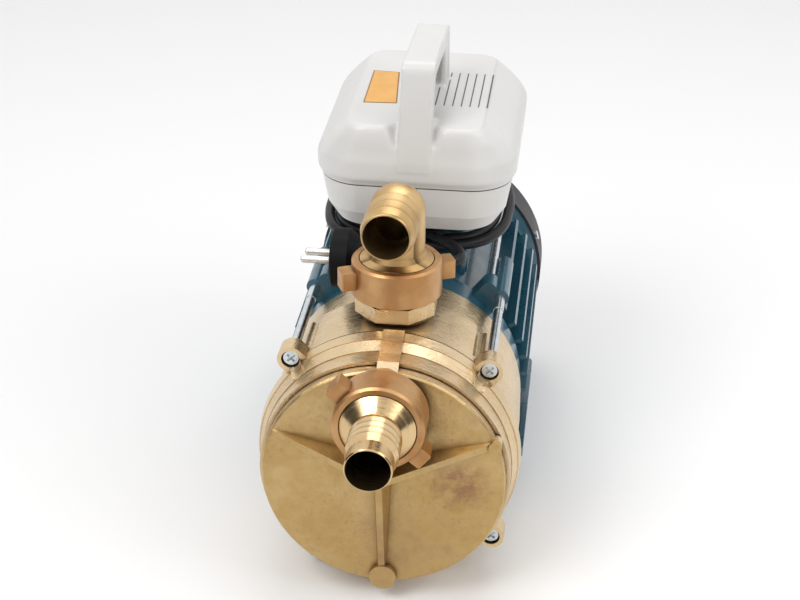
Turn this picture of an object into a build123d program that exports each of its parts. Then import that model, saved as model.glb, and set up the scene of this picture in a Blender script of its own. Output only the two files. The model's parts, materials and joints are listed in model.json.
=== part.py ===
from build123d import *
from math import asin, cos, degrees, radians, sin, sqrt
import os

os.makedirs("parts", exist_ok=True)

# Portable electric transfer pump, millimetres. +Z up, +Y to the rear along the shaft.
# The origin is on the ground under the shaft, at the centre of the motor foot's bolt pattern.
# "Depth" is the distance behind the front face of the pump, measured along the shaft.

# Stations along the shaft
FOOT_DEPTH = 245.0
SHAFT_Z = 88.0
FACE_Y = -FOOT_DEPTH

# Fits
RUNNING = 0.05
SEAT = 0.1
FACE_GAP = 0.05

# Front casing
FACE_R = 75.0
RIM_DEPTH = 7.0
BAND_R = 77.5
BAND_DEPTH = 21.0
FLANGE_R = 81.0
FLANGE_STEP_DEPTH = 28.7
BAND_STEP = 0.5
JOINT_R = 82.6
JOINT_DEPTH = 38.0
GROOVE_WIDTH = 0.9
FRONT_WALL = 7.0
SUCTION_CHAMBER_R = 62.0
STACK_R = 66.0
RIB_CENTRE_Z = 9.2
RIB_HEIGHT = 22.0
RIB_WIDTH = 11.5
RIB_END_WIDTH = 5.2
RIB_CREST = 4.0
RIB_ANGLES = (16.5, 164.5, 270.0)
PAD_WIDTH = 17.0
PAD_TOP = 62.0
PAD_START = 22.0
PAD_END = 36.0
DRAIN_BOSS_R = 8.4
DRAIN_BOSS_RISE = -70.0
DRAIN_BOSS_HEIGHT = 4.0
SPINE_X = 2.0
SPINE_WIDTH = 13.0
SPINE_PROUD = 0.9
SEAL_GROOVE = (70.0, 73.0)
KNOB_R = 4.0
KNOB_HEIGHT = 3.0

# Screw lugs and casing screws
SCREW_CIRCLE_R = 87.2
SCREW_ANGLES = (45.5, 134.6, 239.0, 319.0)
LUG_R = 8.4
LUG_FRONT = 31.0
LUG_LENGTH = 13.0
LUG_WEB = 9.0
SCREW_R = 3.0
SCREW_HEAD_R = 4.8
SCREW_HEAD_LENGTH = 4.5
COUNTERBORE_R = 5.8
NOTCH_R = 9.6
COUNTERBORE_DEPTH = 6.5
SCREW_SHOULDER_R = 3.35
SCREW_SHOULDER_LENGTH = 19.0
SCREW_GRIP = 28.0

# Pump casing
CASING_R = 79.0
CASING_REAR_R = 77.6
CASING_DEPTH = 119.0
SADDLE_R = 82.2
SADDLE_DEPTH = 84.0
SADDLE_HALF_ANGLE = 43.0
SCALLOP_R = 3.6
DELIVERY_CHAMBER_R = 60.0
WALL_DEPTH = 90.0
WALL_THICKNESS = 10.0

# Pump internals
PLATE = 5.0
PLATE_DEPTH = 20.0
RING_WIDTH = 22.0
RING_BORE_R = 53.0
RING_OFFSET = 4.0
IMPELLER_R = 48.0
IMPELLER_HUB_R = 15.0
BLADES = 12
BLADE = 3.2
SHAFT_PUMP_R = 8.0
KEY = 5.0
KEY_LENGTH = 16.0
SEAL_R = 15.0
SLINGER_DEPTH = WALL_DEPTH + WALL_THICKNESS + 3.0

# Union joint, the same on suction and delivery
BORE_R = 13.2
THREAD_R = 24.5
NUT_R = 28.3
NUT_LENGTH = 22.6
NUT_ENGAGEMENT = 13.0
LIP_R = 22.9
COLLAR_R = LIP_R - 0.08
TAIL_FLANGE_R = 24.2
TAIL_FLANGE = 2.0
WASHER = 1.6
WING_TIP_R = 36.5
WING_WIDTH = 12.0
WING_LENGTH = 11.5
WING_SETBACK = 4.6

# Suction side
SUCTION_RISE = 51.5
SPIGOT_LENGTH = 18.0
SUCTION_WING_ANGLE = 140.0
TAIL_R = 14.2
BARB_R = 15.9
BARB_PITCH = 6.0
BARBS = 4
BARB_START = 38.0
TAIL_END = 73.0
CONE_END = 35.0

# Delivery side
DELIVERY_DEPTH = 66.0
NECK_R = 18.5
NECK_TOP = 85.5
BOSS_CORNER_R = 26.6
BOSS_TOP = 95.0
DELIVERY_SEAT = 109.4
DELIVERY_WING_ANGLE = 23.6
ELBOW_R = 15.2
ELBOW_BORE_R = 14.0
ELBOW_BODY_R = 17.2
ELBOW_ARM_RISE = 150.4
ELBOW_REACH = 40.0
ELBOW_TURN = 3.4
ELBOW_BARB_R = 16.9
ELBOW_BARBS = 3
ELBOW_BARB_START = 11.6
ELBOW_BARB_PITCH = 10.0
ELBOW_END_LENGTH = 2.0

# Motor
SHIELD_R = 76.0
SHIELD_WALL = 8.0
SPIGOT = 4.0
HOUSING_DEPTH = CASING_DEPTH + 21.0
HOUSING_LENGTH = 145.0
HOUSING_END = HOUSING_DEPTH + HOUSING_LENGTH
HOUSING_R = 68.0
STATOR_R = 60.0
FIN_R = 81.0
FIN = 2.6
FIN_PITCH = 9.2
TOP_FIN_ANGLE = 37.3
SIDE_FINS = 9
BOSS_R = 5.7
BOSS_MOUTH = CASING_DEPTH + 12.0
BOSS_END = CASING_DEPTH + 63.0
BOSS_ARM_REAR = CASING_DEPTH + 27.0
BOSS_ARM_WIDTH = 9.0
ROD_CIRCLE_R = 86.0
ROD_ANGLE = 51.5
ROD_R = 2.9
EAR_R = 5.2
EAR_REAR_LENGTH = 8.0
ROD_NUT_FLATS = 9.0
STACK_START = HOUSING_DEPTH + 20.0
STACK_END = HOUSING_END - 40.0
ROTOR_R = 40.0
AIR_GAP = 0.4
SHAFT_R = 12.0
FRONT_BEARING = (10.0, 23.5, 14.0)
REAR_BEARING = (8.5, 20.0, 12.0)
BEARING_SPLIT = 0.5
FRONT_BEARING_DEPTH = CASING_DEPTH + 4.0
REAR_BEARING_DEPTH = HOUSING_END + 3.0
REAR_SHIELD_LENGTH = 22.0
COVER_R = 82.0
COVER_WALL = 2.0
COVER_LAP = 7.0
COVER_LENGTH = 34.0
COVER_DEPTH = HOUSING_END + REAR_SHIELD_LENGTH - COVER_LAP
COVER_END = COVER_DEPTH + COVER_LENGTH
COVER_EDGE = 6.0
GRILLE_SLOTS = 20
GRILLE_SLOT = 4.5
GRILLE_LENGTH = 44.0
GRILLE_R = 46.0
FAN_R = 74.0
FAN_BLADES = 8
FAN_DEPTH = HOUSING_END + REAR_SHIELD_LENGTH + 3.0
FAN_WIDTH = 13.0

# Foot
FOOT_WIDTH = 158.0
FOOT_LENGTH = 138.0
FOOT_PLATE = 4.0
FOOT_HOLE_R = 3.5
FOOT_HOLES_X = 126.0
FOOT_HOLES_Y = 104.0
FOOT_LIP = 3.5
FOOT_CORNER_R = 7.0
FOOT_HEAD_R = 4.6
FOOT_HEAD = 2.2
FOOT_PAD_WIDTH = 36.0
FOOT_PAD_LENGTH = 78.0
FOOT_SCREW_SPACING = 56.0

# Terminal box
BOX_X = 3.0
BOX_DEPTH = 209.0
BOX_FLOOR = 108.0
SEAM = 138.0
GASKET = 0.8
BOX_WALL = 2.6
BASE_BOTTOM = (104.0, 150.0, 24.0)
BASE_MIDDLE = (117.0, 158.0, 27.0)
BASE_TOP = (124.0, 163.0, 28.0)
LID_WIDEST = (130.0, 169.0, 30.0)
LID_WIDEST_Z = 148.0
LID_SHOULDER_Z = 154.0
LID_TOP = (86.0, 142.0, 12.0)
LID_TOP_Z = 179.0
LID_TOP_SHIFT = -8.0
PEDESTAL_WIDTH = 72.0
PEDESTAL_LENGTH = 78.0
PEDESTAL_DEPTH = BOX_DEPTH - 4.0
HANDLE_WIDTH = 21.0
HANDLE_THICKNESS = 13.0
HANDLE_SKIN = 3.0
HANDLE_TOP = 221.0
HANDLE_FRONT = (BOX_DEPTH - 88.0, 158.0)
HANDLE_FRONT_BEND = BOX_DEPTH - 76.0
HANDLE_REAR = BOX_DEPTH - 1.0
HANDLE_REAR_FOOT = BOX_DEPTH + 15.0
HANDLE_BEND_R = 9.0
POST_X = 80.0
POST_Y = 124.0
POST_R = 5.0
LID_SCREW_R = 1.8
LID_SCREW_HEAD_R = 3.5
LID_SCREW_HEAD = 2.4
LID_SCREW_SEAT = 112.0
LID_SCREW_END = 154.0
REAR_PAD_PROUD = 1.5
REAR_PAD_WIDTH = 92.0
GLAND_X = 24.0
GLAND_Z = 122.5
GLAND_THREAD_R = 7.9
CAPACITOR_R = 14.0
CAPACITOR_LENGTH = 62.0
CAPACITOR_DEPTH = BOX_DEPTH - 56.0
TERMINAL_DEPTH = BOX_DEPTH + 46.0

# Switch on the rear wall of the box
SWITCH_X = -22.0
SWITCH_Z = 122.5
SWITCH_SIZE = (30.0, 22.0)
ROCKER_SIZE = (25.0, 15.0)
ROCKER_TILT = -8.0
ROCKER_ROOM = 8.0
SWITCH_BODY = 15.0
PIVOT_R = 1.6

# Mains lead
CORD_R = 3.5
PLUG_R = 19.0
PLUG_FACE_X = -45.0
PLUG_RISE = 99.5
PIN_R = 2.4
PIN_LENGTH = 19.0
PIN_SPACING = 19.0
PIN_ROLL = -11.0
COIL_WIDTH = 12.0
COIL_HEIGHT = 19.0
COIL_BOTTOM = 85.5
COIL_HALF_WIDTH = 64.0
COIL_FRONT = BOX_DEPTH - 65.0
COIL_REAR = BOX_DEPTH + 77.0
PLUG_DEPTH = COIL_FRONT - 42.5
COIL_CORNER_R = 46.0
PLUG_TAIL_X = 15.0
RELIEF_LENGTH = 22.0

# Frames of the shaft line, the suction joint and the delivery joint: local x runs along the axis
# and local y is the radius.
SHAFT_LINE = Plane(origin=(0, FACE_Y, SHAFT_Z), x_dir=(0, 1, 0), z_dir=(1, 0, 0))
SHAFT_AXIS = Axis((0, FACE_Y, SHAFT_Z), (0, 1, 0))
SUCTION_Z = SHAFT_Z + SUCTION_RISE
SUCTION_LINE = Plane(origin=(0, FACE_Y, SUCTION_Z), x_dir=(0, -1, 0), z_dir=(-1, 0, 0))
SUCTION_AXIS = Axis((0, FACE_Y, SUCTION_Z), (0, -1, 0))
DELIVERY_Y = FACE_Y + DELIVERY_DEPTH
DELIVERY_LINE = Plane(origin=(0, DELIVERY_Y, SHAFT_Z), x_dir=(0, 0, 1), z_dir=(0, 1, 0))
DELIVERY_AXIS = Axis((0, DELIVERY_Y, SHAFT_Z), (0, 0, 1))


def across(depth):
    """Plane square to the shaft, facing forward; extrude by a negative amount to go rearward."""
    return Plane(origin=(0, FACE_Y + depth, SHAFT_Z), x_dir=(1, 0, 0), z_dir=(0, -1, 0))


def level(rise, x=0.0, depth=FOOT_DEPTH):
    """Horizontal plane at a height above the shaft."""
    return Plane.XY.offset(SHAFT_Z + rise).move(Location((x, FACE_Y + depth, 0)))


def outline(points, plane=SHAFT_LINE):
    """Closed straight-sided profile on a plane."""
    with BuildSketch(plane) as sketch:
        with BuildLine():
            Polyline(*points, close=True)
        make_face()
    return sketch.sketch


def tube_profile(start, end, inner, outer, plane=SHAFT_LINE):
    """Rectangular profile of a plain ring between two stations."""
    return outline([(start, inner), (end, inner), (end, outer), (start, outer)], plane)


def polar(radius, angle):
    """Point at a radius and an angle in degrees."""
    return (radius * cos(radians(angle)), radius * sin(radians(angle)))


def finish(solid, name):
    """Label a piece and write its file."""
    solid.label = name
    export_step(solid, f"parts/{name}.step")


# Pump front casing
with BuildPart() as front_casing:
    revolve(outline([
        (0, 0), (0, FACE_R - 1.2), (1.2, FACE_R), (RIM_DEPTH, FACE_R),
        (RIM_DEPTH, FACE_R - 1.0), (RIM_DEPTH + GROOVE_WIDTH, FACE_R - 1.0), (RIM_DEPTH + GROOVE_WIDTH, BAND_R),
        (BAND_DEPTH, BAND_R), (BAND_DEPTH, BAND_R + BAND_STEP), (FLANGE_STEP_DEPTH, FLANGE_R),
        (FLANGE_STEP_DEPTH, FLANGE_R + BAND_STEP), (JOINT_DEPTH - 0.8, JOINT_R),
        (JOINT_DEPTH, JOINT_R - 0.8), (JOINT_DEPTH, STACK_R), (PLATE_DEPTH, STACK_R),
        (PLATE_DEPTH, SUCTION_CHAMBER_R), (FRONT_WALL, SUCTION_CHAMBER_R), (FRONT_WALL, 0),
    ]), axis=SHAFT_AXIS)
    # tapered ribs run from the middle of the face to its rim
    for angle in RIB_ANGLES:
        direction = polar(1, angle)
        reach = sqrt((FACE_R - 1.5) ** 2 - (RIB_CENTRE_Z * direction[0]) ** 2) - RIB_CENTRE_Z * direction[1]
        root = Plane(
            origin=(0, FACE_Y, SHAFT_Z + RIB_CENTRE_Z),
            x_dir=(-direction[1], 0, direction[0]), z_dir=(direction[0], 0, direction[1]))
        for distance, width, height in ((0, RIB_WIDTH, RIB_HEIGHT), (reach, RIB_END_WIDTH, 0.4)):
            with BuildSketch(root.offset(distance)):
                with BuildLine():
                    Polyline((-width / 2, 0), (-RIB_CREST / 2, height), (RIB_CREST / 2, height), (width / 2, 0), close=True)
                make_face()
        loft(ruled=True)
    # pad cast under the casing, level with the motor's foot
    with BuildSketch(across(PAD_START)):
        with BuildLine():
            Polyline((-PAD_WIDTH / 2, -PAD_TOP), (PAD_WIDTH / 2, -PAD_TOP), (PAD_WIDTH / 2, -SHAFT_Z),
                     (-PAD_WIDTH / 2, -SHAFT_Z), close=True)
        make_face()
    extrude(amount=-(PAD_END - PAD_START))
    # round drain boss at the foot of the lower rib
    with BuildSketch(across(-DRAIN_BOSS_HEIGHT)):
        with Locations((0.8, DRAIN_BOSS_RISE)):
            Circle(DRAIN_BOSS_R)
    extrude(amount=-(DRAIN_BOSS_HEIGHT + RIM_DEPTH))
    # spine left unturned along the top of the bands
    with BuildSketch(SHAFT_LINE.offset(SPINE_X)):
        with BuildLine():
            Polyline((1.5, FACE_R - 6), (1.5, FACE_R - 0.5), (RIM_DEPTH, BAND_R + SPINE_PROUD),
                     (BAND_DEPTH - 5, BAND_R + SPINE_PROUD + 0.6), (BAND_DEPTH, FLANGE_R - 0.6),
                     (FLANGE_STEP_DEPTH, FLANGE_R + SPINE_PROUD), (JOINT_DEPTH, JOINT_R + SPINE_PROUD),
                     (JOINT_DEPTH, FACE_R - 6), close=True)
        make_face()
    extrude(amount=SPINE_WIDTH / 2, both=True)
    # knob at the outer end of the right rib
    with BuildSketch(across(-KNOB_HEIGHT)):
        with Locations(polar(FACE_R - 1.2, 22.8)):
            Circle(KNOB_R)
    extrude(amount=-(KNOB_HEIGHT + RIM_DEPTH))
    # screw lugs with their webs
    for angle in SCREW_ANGLES:
        with BuildSketch(across(LUG_FRONT)):
            with Locations(polar(SCREW_CIRCLE_R, angle)):
                Circle(LUG_R)
            with Locations(Location((*polar((SCREW_CIRCLE_R + STACK_R + 6) / 2, angle), 0), (0, 0, angle))):
                Rectangle(SCREW_CIRCLE_R - STACK_R - 6, 2 * LUG_R)
        extrude(amount=-LUG_LENGTH)
        with BuildSketch(across(BAND_DEPTH + 1)):
            with Locations(Location((*polar((SCREW_CIRCLE_R + STACK_R + 4) / 2, angle), 0), (0, 0, angle))):
                Rectangle(SCREW_CIRCLE_R - STACK_R - 4, LUG_WEB)
        extrude(amount=-(LUG_FRONT - BAND_DEPTH))
        with BuildSketch(across(LUG_FRONT)):
            with Locations(polar(SCREW_CIRCLE_R, angle)):
                Circle(COUNTERBORE_R)
        extrude(amount=-COUNTERBORE_DEPTH, mode=Mode.SUBTRACT)
        # the driver's way to the head opens forwards
        for depth, radius in ((BAND_DEPTH, NOTCH_R), (LUG_FRONT, COUNTERBORE_R)):
            with BuildSketch(across(depth)):
                with Locations(polar(SCREW_CIRCLE_R, angle)):
                    Circle(radius)
        loft(ruled=True, mode=Mode.SUBTRACT)
        with BuildSketch(across(LUG_FRONT)):
            with Locations(polar(SCREW_CIRCLE_R, angle)):
                Circle(SCREW_R + 0.4)
        extrude(amount=-LUG_LENGTH, mode=Mode.SUBTRACT)
    # the stack bore is cut again through the lug webs
    revolve(tube_profile(PLATE_DEPTH, JOINT_DEPTH + LUG_LENGTH, 0, STACK_R), axis=SHAFT_AXIS, mode=Mode.SUBTRACT)
    revolve(tube_profile(JOINT_DEPTH, JOINT_DEPTH + LUG_LENGTH, 0, SADDLE_R + SEAT),
            axis=SHAFT_AXIS, mode=Mode.SUBTRACT)
    # suction spigot and its bore
    revolve(tube_profile(-FRONT_WALL / 2, SPIGOT_LENGTH, 0, THREAD_R, SUCTION_LINE), axis=SUCTION_AXIS)
    revolve(tube_profile(-FRONT_WALL - 1, SPIGOT_LENGTH, 0, BORE_R, SUCTION_LINE),
            axis=SUCTION_AXIS, mode=Mode.SUBTRACT)
    # groove for the casing seal
    revolve(tube_profile(JOINT_DEPTH - 2.2, JOINT_DEPTH, *SEAL_GROOVE), axis=SHAFT_AXIS, mode=Mode.SUBTRACT)
finish(front_casing.part, "front_casing")

with BuildPart() as casing_seal:
    revolve(tube_profile(JOINT_DEPTH - 2.2, JOINT_DEPTH, SEAL_GROOVE[0] + SEAT, SEAL_GROOVE[1] - SEAT), axis=SHAFT_AXIS)
finish(casing_seal.part, "casing_seal")

# Pump casing with the delivery neck
with BuildPart() as pump_casing:
    revolve(outline([
        (JOINT_DEPTH, STACK_R), (JOINT_DEPTH, CASING_R), (SADDLE_DEPTH, CASING_R),
        (CASING_DEPTH - 1, CASING_REAR_R), (CASING_DEPTH, CASING_REAR_R - 1), (CASING_DEPTH, DELIVERY_CHAMBER_R),
        (WALL_DEPTH + WALL_THICKNESS, DELIVERY_CHAMBER_R), (WALL_DEPTH + WALL_THICKNESS, SEAL_R - 4),
        (WALL_DEPTH + WALL_THICKNESS - 4, SEAL_R - 4), (WALL_DEPTH + WALL_THICKNESS - 4, SEAL_R + RUNNING),
        (WALL_DEPTH, SEAL_R + RUNNING), (WALL_DEPTH, DELIVERY_CHAMBER_R),
        (PLATE_DEPTH + 2 * PLATE + RING_WIDTH, DELIVERY_CHAMBER_R),
        (PLATE_DEPTH + 2 * PLATE + RING_WIDTH, STACK_R),
    ]), axis=SHAFT_AXIS)
    # raised saddle between the two upper screws
    edge = polar(2 * SADDLE_R, 90 - SADDLE_HALF_ANGLE)
    with BuildSketch(across(JOINT_DEPTH + GROOVE_WIDTH)):
        Circle(SADDLE_R)
        Circle(CASING_REAR_R - 4, mode=Mode.SUBTRACT)
        with BuildLine():
            Polyline((0, 0), edge, (0, 2 * SADDLE_R), (-edge[0], edge[1]), close=True)
        make_face(mode=Mode.INTERSECT)
    extrude(amount=-(SADDLE_DEPTH - JOINT_DEPTH - GROOVE_WIDTH))
    with BuildSketch(across(JOINT_DEPTH + GROOVE_WIDTH + LUG_LENGTH / 2)):
        for angle in (90 - SADDLE_HALF_ANGLE + 3.4, 90 + SADDLE_HALF_ANGLE - 3.4):
            with Locations(polar(SADDLE_R + SCALLOP_R / 2 - 1.0, angle)):
                Circle(SCALLOP_R)
    extrude(amount=-(SADDLE_DEPTH - JOINT_DEPTH), mode=Mode.SUBTRACT)
    # delivery neck: cone, eight-sided boss, threaded spigot
    revolve(outline([
        (CASING_R - 10, 0), (CASING_R - 10, NECK_R), (CASING_R - 2, NECK_R), (NECK_TOP, BOSS_CORNER_R - 2),
        (NECK_TOP, 0)], DELIVERY_LINE), axis=DELIVERY_AXIS)
    with BuildSketch(level(NECK_TOP, depth=DELIVERY_DEPTH)):
        RegularPolygon(BOSS_CORNER_R, 8, rotation=22.5)
    extrude(amount=BOSS_TOP - NECK_TOP)
    revolve(tube_profile(BOSS_TOP, DELIVERY_SEAT, 0, THREAD_R - 0.05, DELIVERY_LINE), axis=DELIVERY_AXIS)
    revolve(tube_profile(DELIVERY_CHAMBER_R - 6, DELIVERY_SEAT, 0, BORE_R, DELIVERY_LINE),
            axis=DELIVERY_AXIS, mode=Mode.SUBTRACT)
    # drain window under the open bracket in front of the motor
    with BuildSketch(across(CASING_DEPTH - 4)):
        with Locations((0, -CASING_R)):
            Rectangle(34, 60)
    extrude(amount=CASING_DEPTH - 8 - WALL_DEPTH - WALL_THICKNESS, mode=Mode.SUBTRACT)
finish(pump_casing.part, "pump_casing")

# Casing screws: cross-recess head, shank, brighter shoulder and the threaded end in the motor's boss
SCREW_SEAT = LUG_FRONT + COUNTERBORE_DEPTH
with BuildPart() as casing_screws:
    for angle in SCREW_ANGLES:
        for depth, radius, length in (
            (SCREW_SEAT - SCREW_HEAD_LENGTH, SCREW_HEAD_R, SCREW_HEAD_LENGTH),
            (SCREW_SEAT, SCREW_R, BOSS_MOUTH - SCREW_SHOULDER_LENGTH - SCREW_SEAT),
            (BOSS_MOUTH - SCREW_SHOULDER_LENGTH, SCREW_SHOULDER_R, SCREW_SHOULDER_LENGTH),
            (BOSS_MOUTH, SCREW_R, SCREW_GRIP),
        ):
            with BuildSketch(across(depth)):
                with Locations(polar(SCREW_CIRCLE_R, angle)):
                    Circle(radius)
            extrude(amount=-length)
        with BuildSketch(across(SCREW_SEAT - SCREW_HEAD_LENGTH)):
            with Locations(Location((*polar(SCREW_CIRCLE_R, angle), 0), (0, 0, angle))):
                Rectangle(1.6, 6.4)
                Rectangle(6.4, 1.6)
        extrude(amount=-SCREW_HEAD_LENGTH / 2, mode=Mode.SUBTRACT)
finish(casing_screws.part, "casing_screws")

# Stack inside the pump
RING_DEPTH = PLATE_DEPTH + PLATE
RING_END = RING_DEPTH + RING_WIDTH
HUB_CLEARANCE_R = 13.5
PORT_INNER_R = 25.0
PORT_OUTER_R = 42.0


def port_plate(depth, start_angle, arc):
    """Disc with the shaft hole and one kidney-shaped port."""
    with BuildPart() as plate:
        with BuildSketch(across(depth)):
            Circle(STACK_R - SEAT)
            Circle(HUB_CLEARANCE_R, mode=Mode.SUBTRACT)
            with BuildLine():
                outer = CenterArc((0, 0), PORT_OUTER_R, start_angle, arc)
                inner = CenterArc((0, 0), PORT_INNER_R, start_angle, arc)
                Line(outer @ 0, inner @ 0)
                Line(outer @ 1, inner @ 1)
            make_face(mode=Mode.SUBTRACT)
        extrude(amount=-PLATE)
    return plate.part


suction_port_plate = port_plate(PLATE_DEPTH, 40, 100)
finish(suction_port_plate, "suction_port_plate")
delivery_port_plate = port_plate(RING_END, 230, 60)
finish(delivery_port_plate, "delivery_port_plate")

with BuildPart() as impeller_ring:
    with BuildSketch(across(RING_DEPTH)):
        Circle(STACK_R - SEAT)
        with Locations((RING_OFFSET, 0)):
            Circle(RING_BORE_R, mode=Mode.SUBTRACT)
    extrude(amount=-RING_WIDTH)
finish(impeller_ring.part, "impeller_ring")

IMPELLER_START = RING_DEPTH + SEAT
IMPELLER_WIDTH = RING_WIDTH - 2 * SEAT
KEY_START = IMPELLER_START + (IMPELLER_WIDTH - KEY_LENGTH) / 2
with BuildPart() as impeller:
    with BuildSketch(across(IMPELLER_START)):
        Circle(IMPELLER_HUB_R)
        with PolarLocations((IMPELLER_HUB_R + IMPELLER_R) / 2 - 1, BLADES):
            Rectangle(IMPELLER_R - IMPELLER_HUB_R + 2, BLADE)
        Circle(IMPELLER_R, mode=Mode.INTERSECT)
        Circle(SHAFT_PUMP_R, mode=Mode.SUBTRACT)
        with Locations((0, SHAFT_PUMP_R)):
            Rectangle(KEY, 4.6, mode=Mode.SUBTRACT)
    extrude(amount=-IMPELLER_WIDTH)
finish(impeller.part, "impeller")

with BuildPart() as impeller_key:
    with BuildSketch(across(KEY_START)):
        with Locations((0, SHAFT_PUMP_R)):
            Rectangle(KEY, 4.6)
    extrude(amount=-KEY_LENGTH)
finish(impeller_key.part, "impeller_key")

STUD_R = 6.0
STUD_START = 15.0
NUT_FLATS = 19.0
with BuildPart() as impeller_nut:
    with BuildSketch(across(IMPELLER_START - 8)):
        RegularPolygon(NUT_FLATS / 2, 6, major_radius=False)
        Circle(STUD_R, mode=Mode.SUBTRACT)
    extrude(amount=-8)
    chamfer(impeller_nut.faces().sort_by(Axis.Y)[0].outer_wire().edges(), 0.6)
finish(impeller_nut.part, "impeller_nut")

# Shaft seal: the sprung rotary half and its seat in the casing wall
with BuildPart() as seal_rotary:
    revolve(outline([
        (62, SHAFT_PUMP_R), (62, SEAL_R - 1), (68, SEAL_R - 1), (70, SEAL_R - 3), (72.5, SEAL_R - 1), (75, SEAL_R - 3),
        (77.5, SEAL_R - 1), (80, SEAL_R - 3), (82, SEAL_R - 1), (86, SEAL_R - 1), (86, SEAL_R - 3),
        (WALL_DEPTH - FACE_GAP, SEAL_R - 3), (WALL_DEPTH - FACE_GAP, SHAFT_PUMP_R)]), axis=SHAFT_AXIS)
finish(seal_rotary.part, "seal_rotary")

with BuildPart() as seal_seat:
    revolve(tube_profile(WALL_DEPTH, WALL_DEPTH + WALL_THICKNESS - 4, SHAFT_PUMP_R + 0.8, SEAL_R), axis=SHAFT_AXIS)
finish(seal_seat.part, "seal_seat")

with BuildPart() as water_slinger:
    revolve(outline([
        (SLINGER_DEPTH, SHAFT_PUMP_R), (SLINGER_DEPTH, SEAL_R + 2), (SLINGER_DEPTH + 2, SEAL_R + 2),
        (SLINGER_DEPTH + 3, SHAFT_PUMP_R + 3), (SLINGER_DEPTH + 7, SHAFT_PUMP_R + 3),
        (SLINGER_DEPTH + 7, SHAFT_PUMP_R)]), axis=SHAFT_AXIS)
finish(water_slinger.part, "water_slinger")


# Union nuts: the same part screws on both spigots and holds a flanged tail
def union_nut(line, axis, wing_angle, seat):
    """Wing nut on a joint line; seat is the station of the spigot's end face."""
    start = seat - NUT_ENGAGEMENT
    end = start + NUT_LENGTH
    lip = seat + WASHER + TAIL_FLANGE + FACE_GAP
    with BuildPart() as nut:
        revolve(outline([
            (start, THREAD_R + RUNNING), (start, NUT_R - 0.8), (start + 0.8, NUT_R), (end - 1.4, NUT_R - 0.4),
            (end, NUT_R - 1.8), (end, LIP_R + 0.6), (end - 0.6, LIP_R), (lip, LIP_R), (lip, THREAD_R + RUNNING),
        ], line), axis=axis)
        wing_plane = Plane(
            origin=line.origin + line.x_dir * (end - WING_SETBACK - WING_LENGTH), x_dir=(1, 0, 0), z_dir=line.x_dir)
        with BuildSketch(wing_plane):
            with Locations(Location((0, 0, 0), (0, 0, wing_angle))):
                RectangleRounded(2 * WING_TIP_R, WING_WIDTH, 1.5)
            Circle(THREAD_R + 1.5, mode=Mode.SUBTRACT)
        extrude(amount=WING_LENGTH)
    return nut.part


suction_nut = union_nut(SUCTION_LINE, SUCTION_AXIS, SUCTION_WING_ANGLE, SPIGOT_LENGTH)
finish(suction_nut, "suction_nut")
delivery_nut = union_nut(DELIVERY_LINE, DELIVERY_AXIS, DELIVERY_WING_ANGLE, DELIVERY_SEAT)
finish(delivery_nut, "delivery_nut")

with BuildPart() as suction_washer:
    revolve(tube_profile(SPIGOT_LENGTH, SPIGOT_LENGTH + WASHER, BORE_R + 1, THREAD_R - 0.4, SUCTION_LINE),
            axis=SUCTION_AXIS)
finish(suction_washer.part, "suction_washer")

with BuildPart() as delivery_washer:
    revolve(tube_profile(DELIVERY_SEAT, DELIVERY_SEAT + WASHER, BORE_R + 1, THREAD_R - 0.4, DELIVERY_LINE),
            axis=DELIVERY_AXIS)
finish(delivery_washer.part, "delivery_washer")

# Hose tail on the suction side
SUCTION_TAIL_SEAT = SPIGOT_LENGTH + WASHER + FACE_GAP
SUCTION_NUT_FRONT = SPIGOT_LENGTH - NUT_ENGAGEMENT + NUT_LENGTH
tail_points = [
    (SUCTION_TAIL_SEAT, BORE_R), (SUCTION_TAIL_SEAT, TAIL_FLANGE_R),
    (SUCTION_TAIL_SEAT + TAIL_FLANGE - FACE_GAP, TAIL_FLANGE_R),
    (SUCTION_TAIL_SEAT + TAIL_FLANGE - FACE_GAP, COLLAR_R), (SUCTION_NUT_FRONT, COLLAR_R), (CONE_END, TAIL_R + 1.1),
    (BARB_START, TAIL_R + 1.1)]
for barb in range(BARBS):
    tail_points += [(BARB_START + barb * BARB_PITCH + 0.6, BARB_R),
                    (BARB_START + (barb + 1) * BARB_PITCH, TAIL_R + (0.4 if barb < BARBS - 1 else 0))]
tail_points += [(TAIL_END - 0.8, TAIL_R), (TAIL_END, TAIL_R - 0.6), (TAIL_END, BORE_R)]
with BuildPart() as suction_hose_tail:
    revolve(outline(tail_points, SUCTION_LINE), axis=SUCTION_AXIS)
finish(suction_hose_tail.part, "suction_hose_tail")

# Elbow tail on the delivery side
ELBOW_SEAT = DELIVERY_SEAT + WASHER + FACE_GAP
DELIVERY_NUT_TOP = DELIVERY_SEAT - NUT_ENGAGEMENT + NUT_LENGTH
arm_direction = Vector(-sin(radians(ELBOW_TURN)), -cos(radians(ELBOW_TURN)), 0)
ELBOW_PLANE = Plane(
    origin=(0, DELIVERY_Y, SHAFT_Z), x_dir=arm_direction, z_dir=arm_direction.cross(Vector(0, 0, 1)))
ARM_PLANE = Plane(origin=(0, DELIVERY_Y, SHAFT_Z + ELBOW_ARM_RISE), x_dir=arm_direction, z_dir=ELBOW_PLANE.z_dir)
ARM_AXIS = Axis(ARM_PLANE.origin, arm_direction)
arm_points = [(0, 0), (0, ELBOW_R), (ELBOW_BARB_START, ELBOW_R)]
for barb in range(ELBOW_BARBS):
    start = ELBOW_BARB_START + barb * ELBOW_BARB_PITCH
    ramp_end = min(start + ELBOW_BARB_PITCH, ELBOW_REACH - ELBOW_END_LENGTH)
    arm_points += [(start + 0.6, ELBOW_BARB_R), (ramp_end, ELBOW_R)]
arm_points += [(ELBOW_REACH - 0.6, ELBOW_R), (ELBOW_REACH, ELBOW_R - 0.5), (ELBOW_REACH, 0)]
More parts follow.
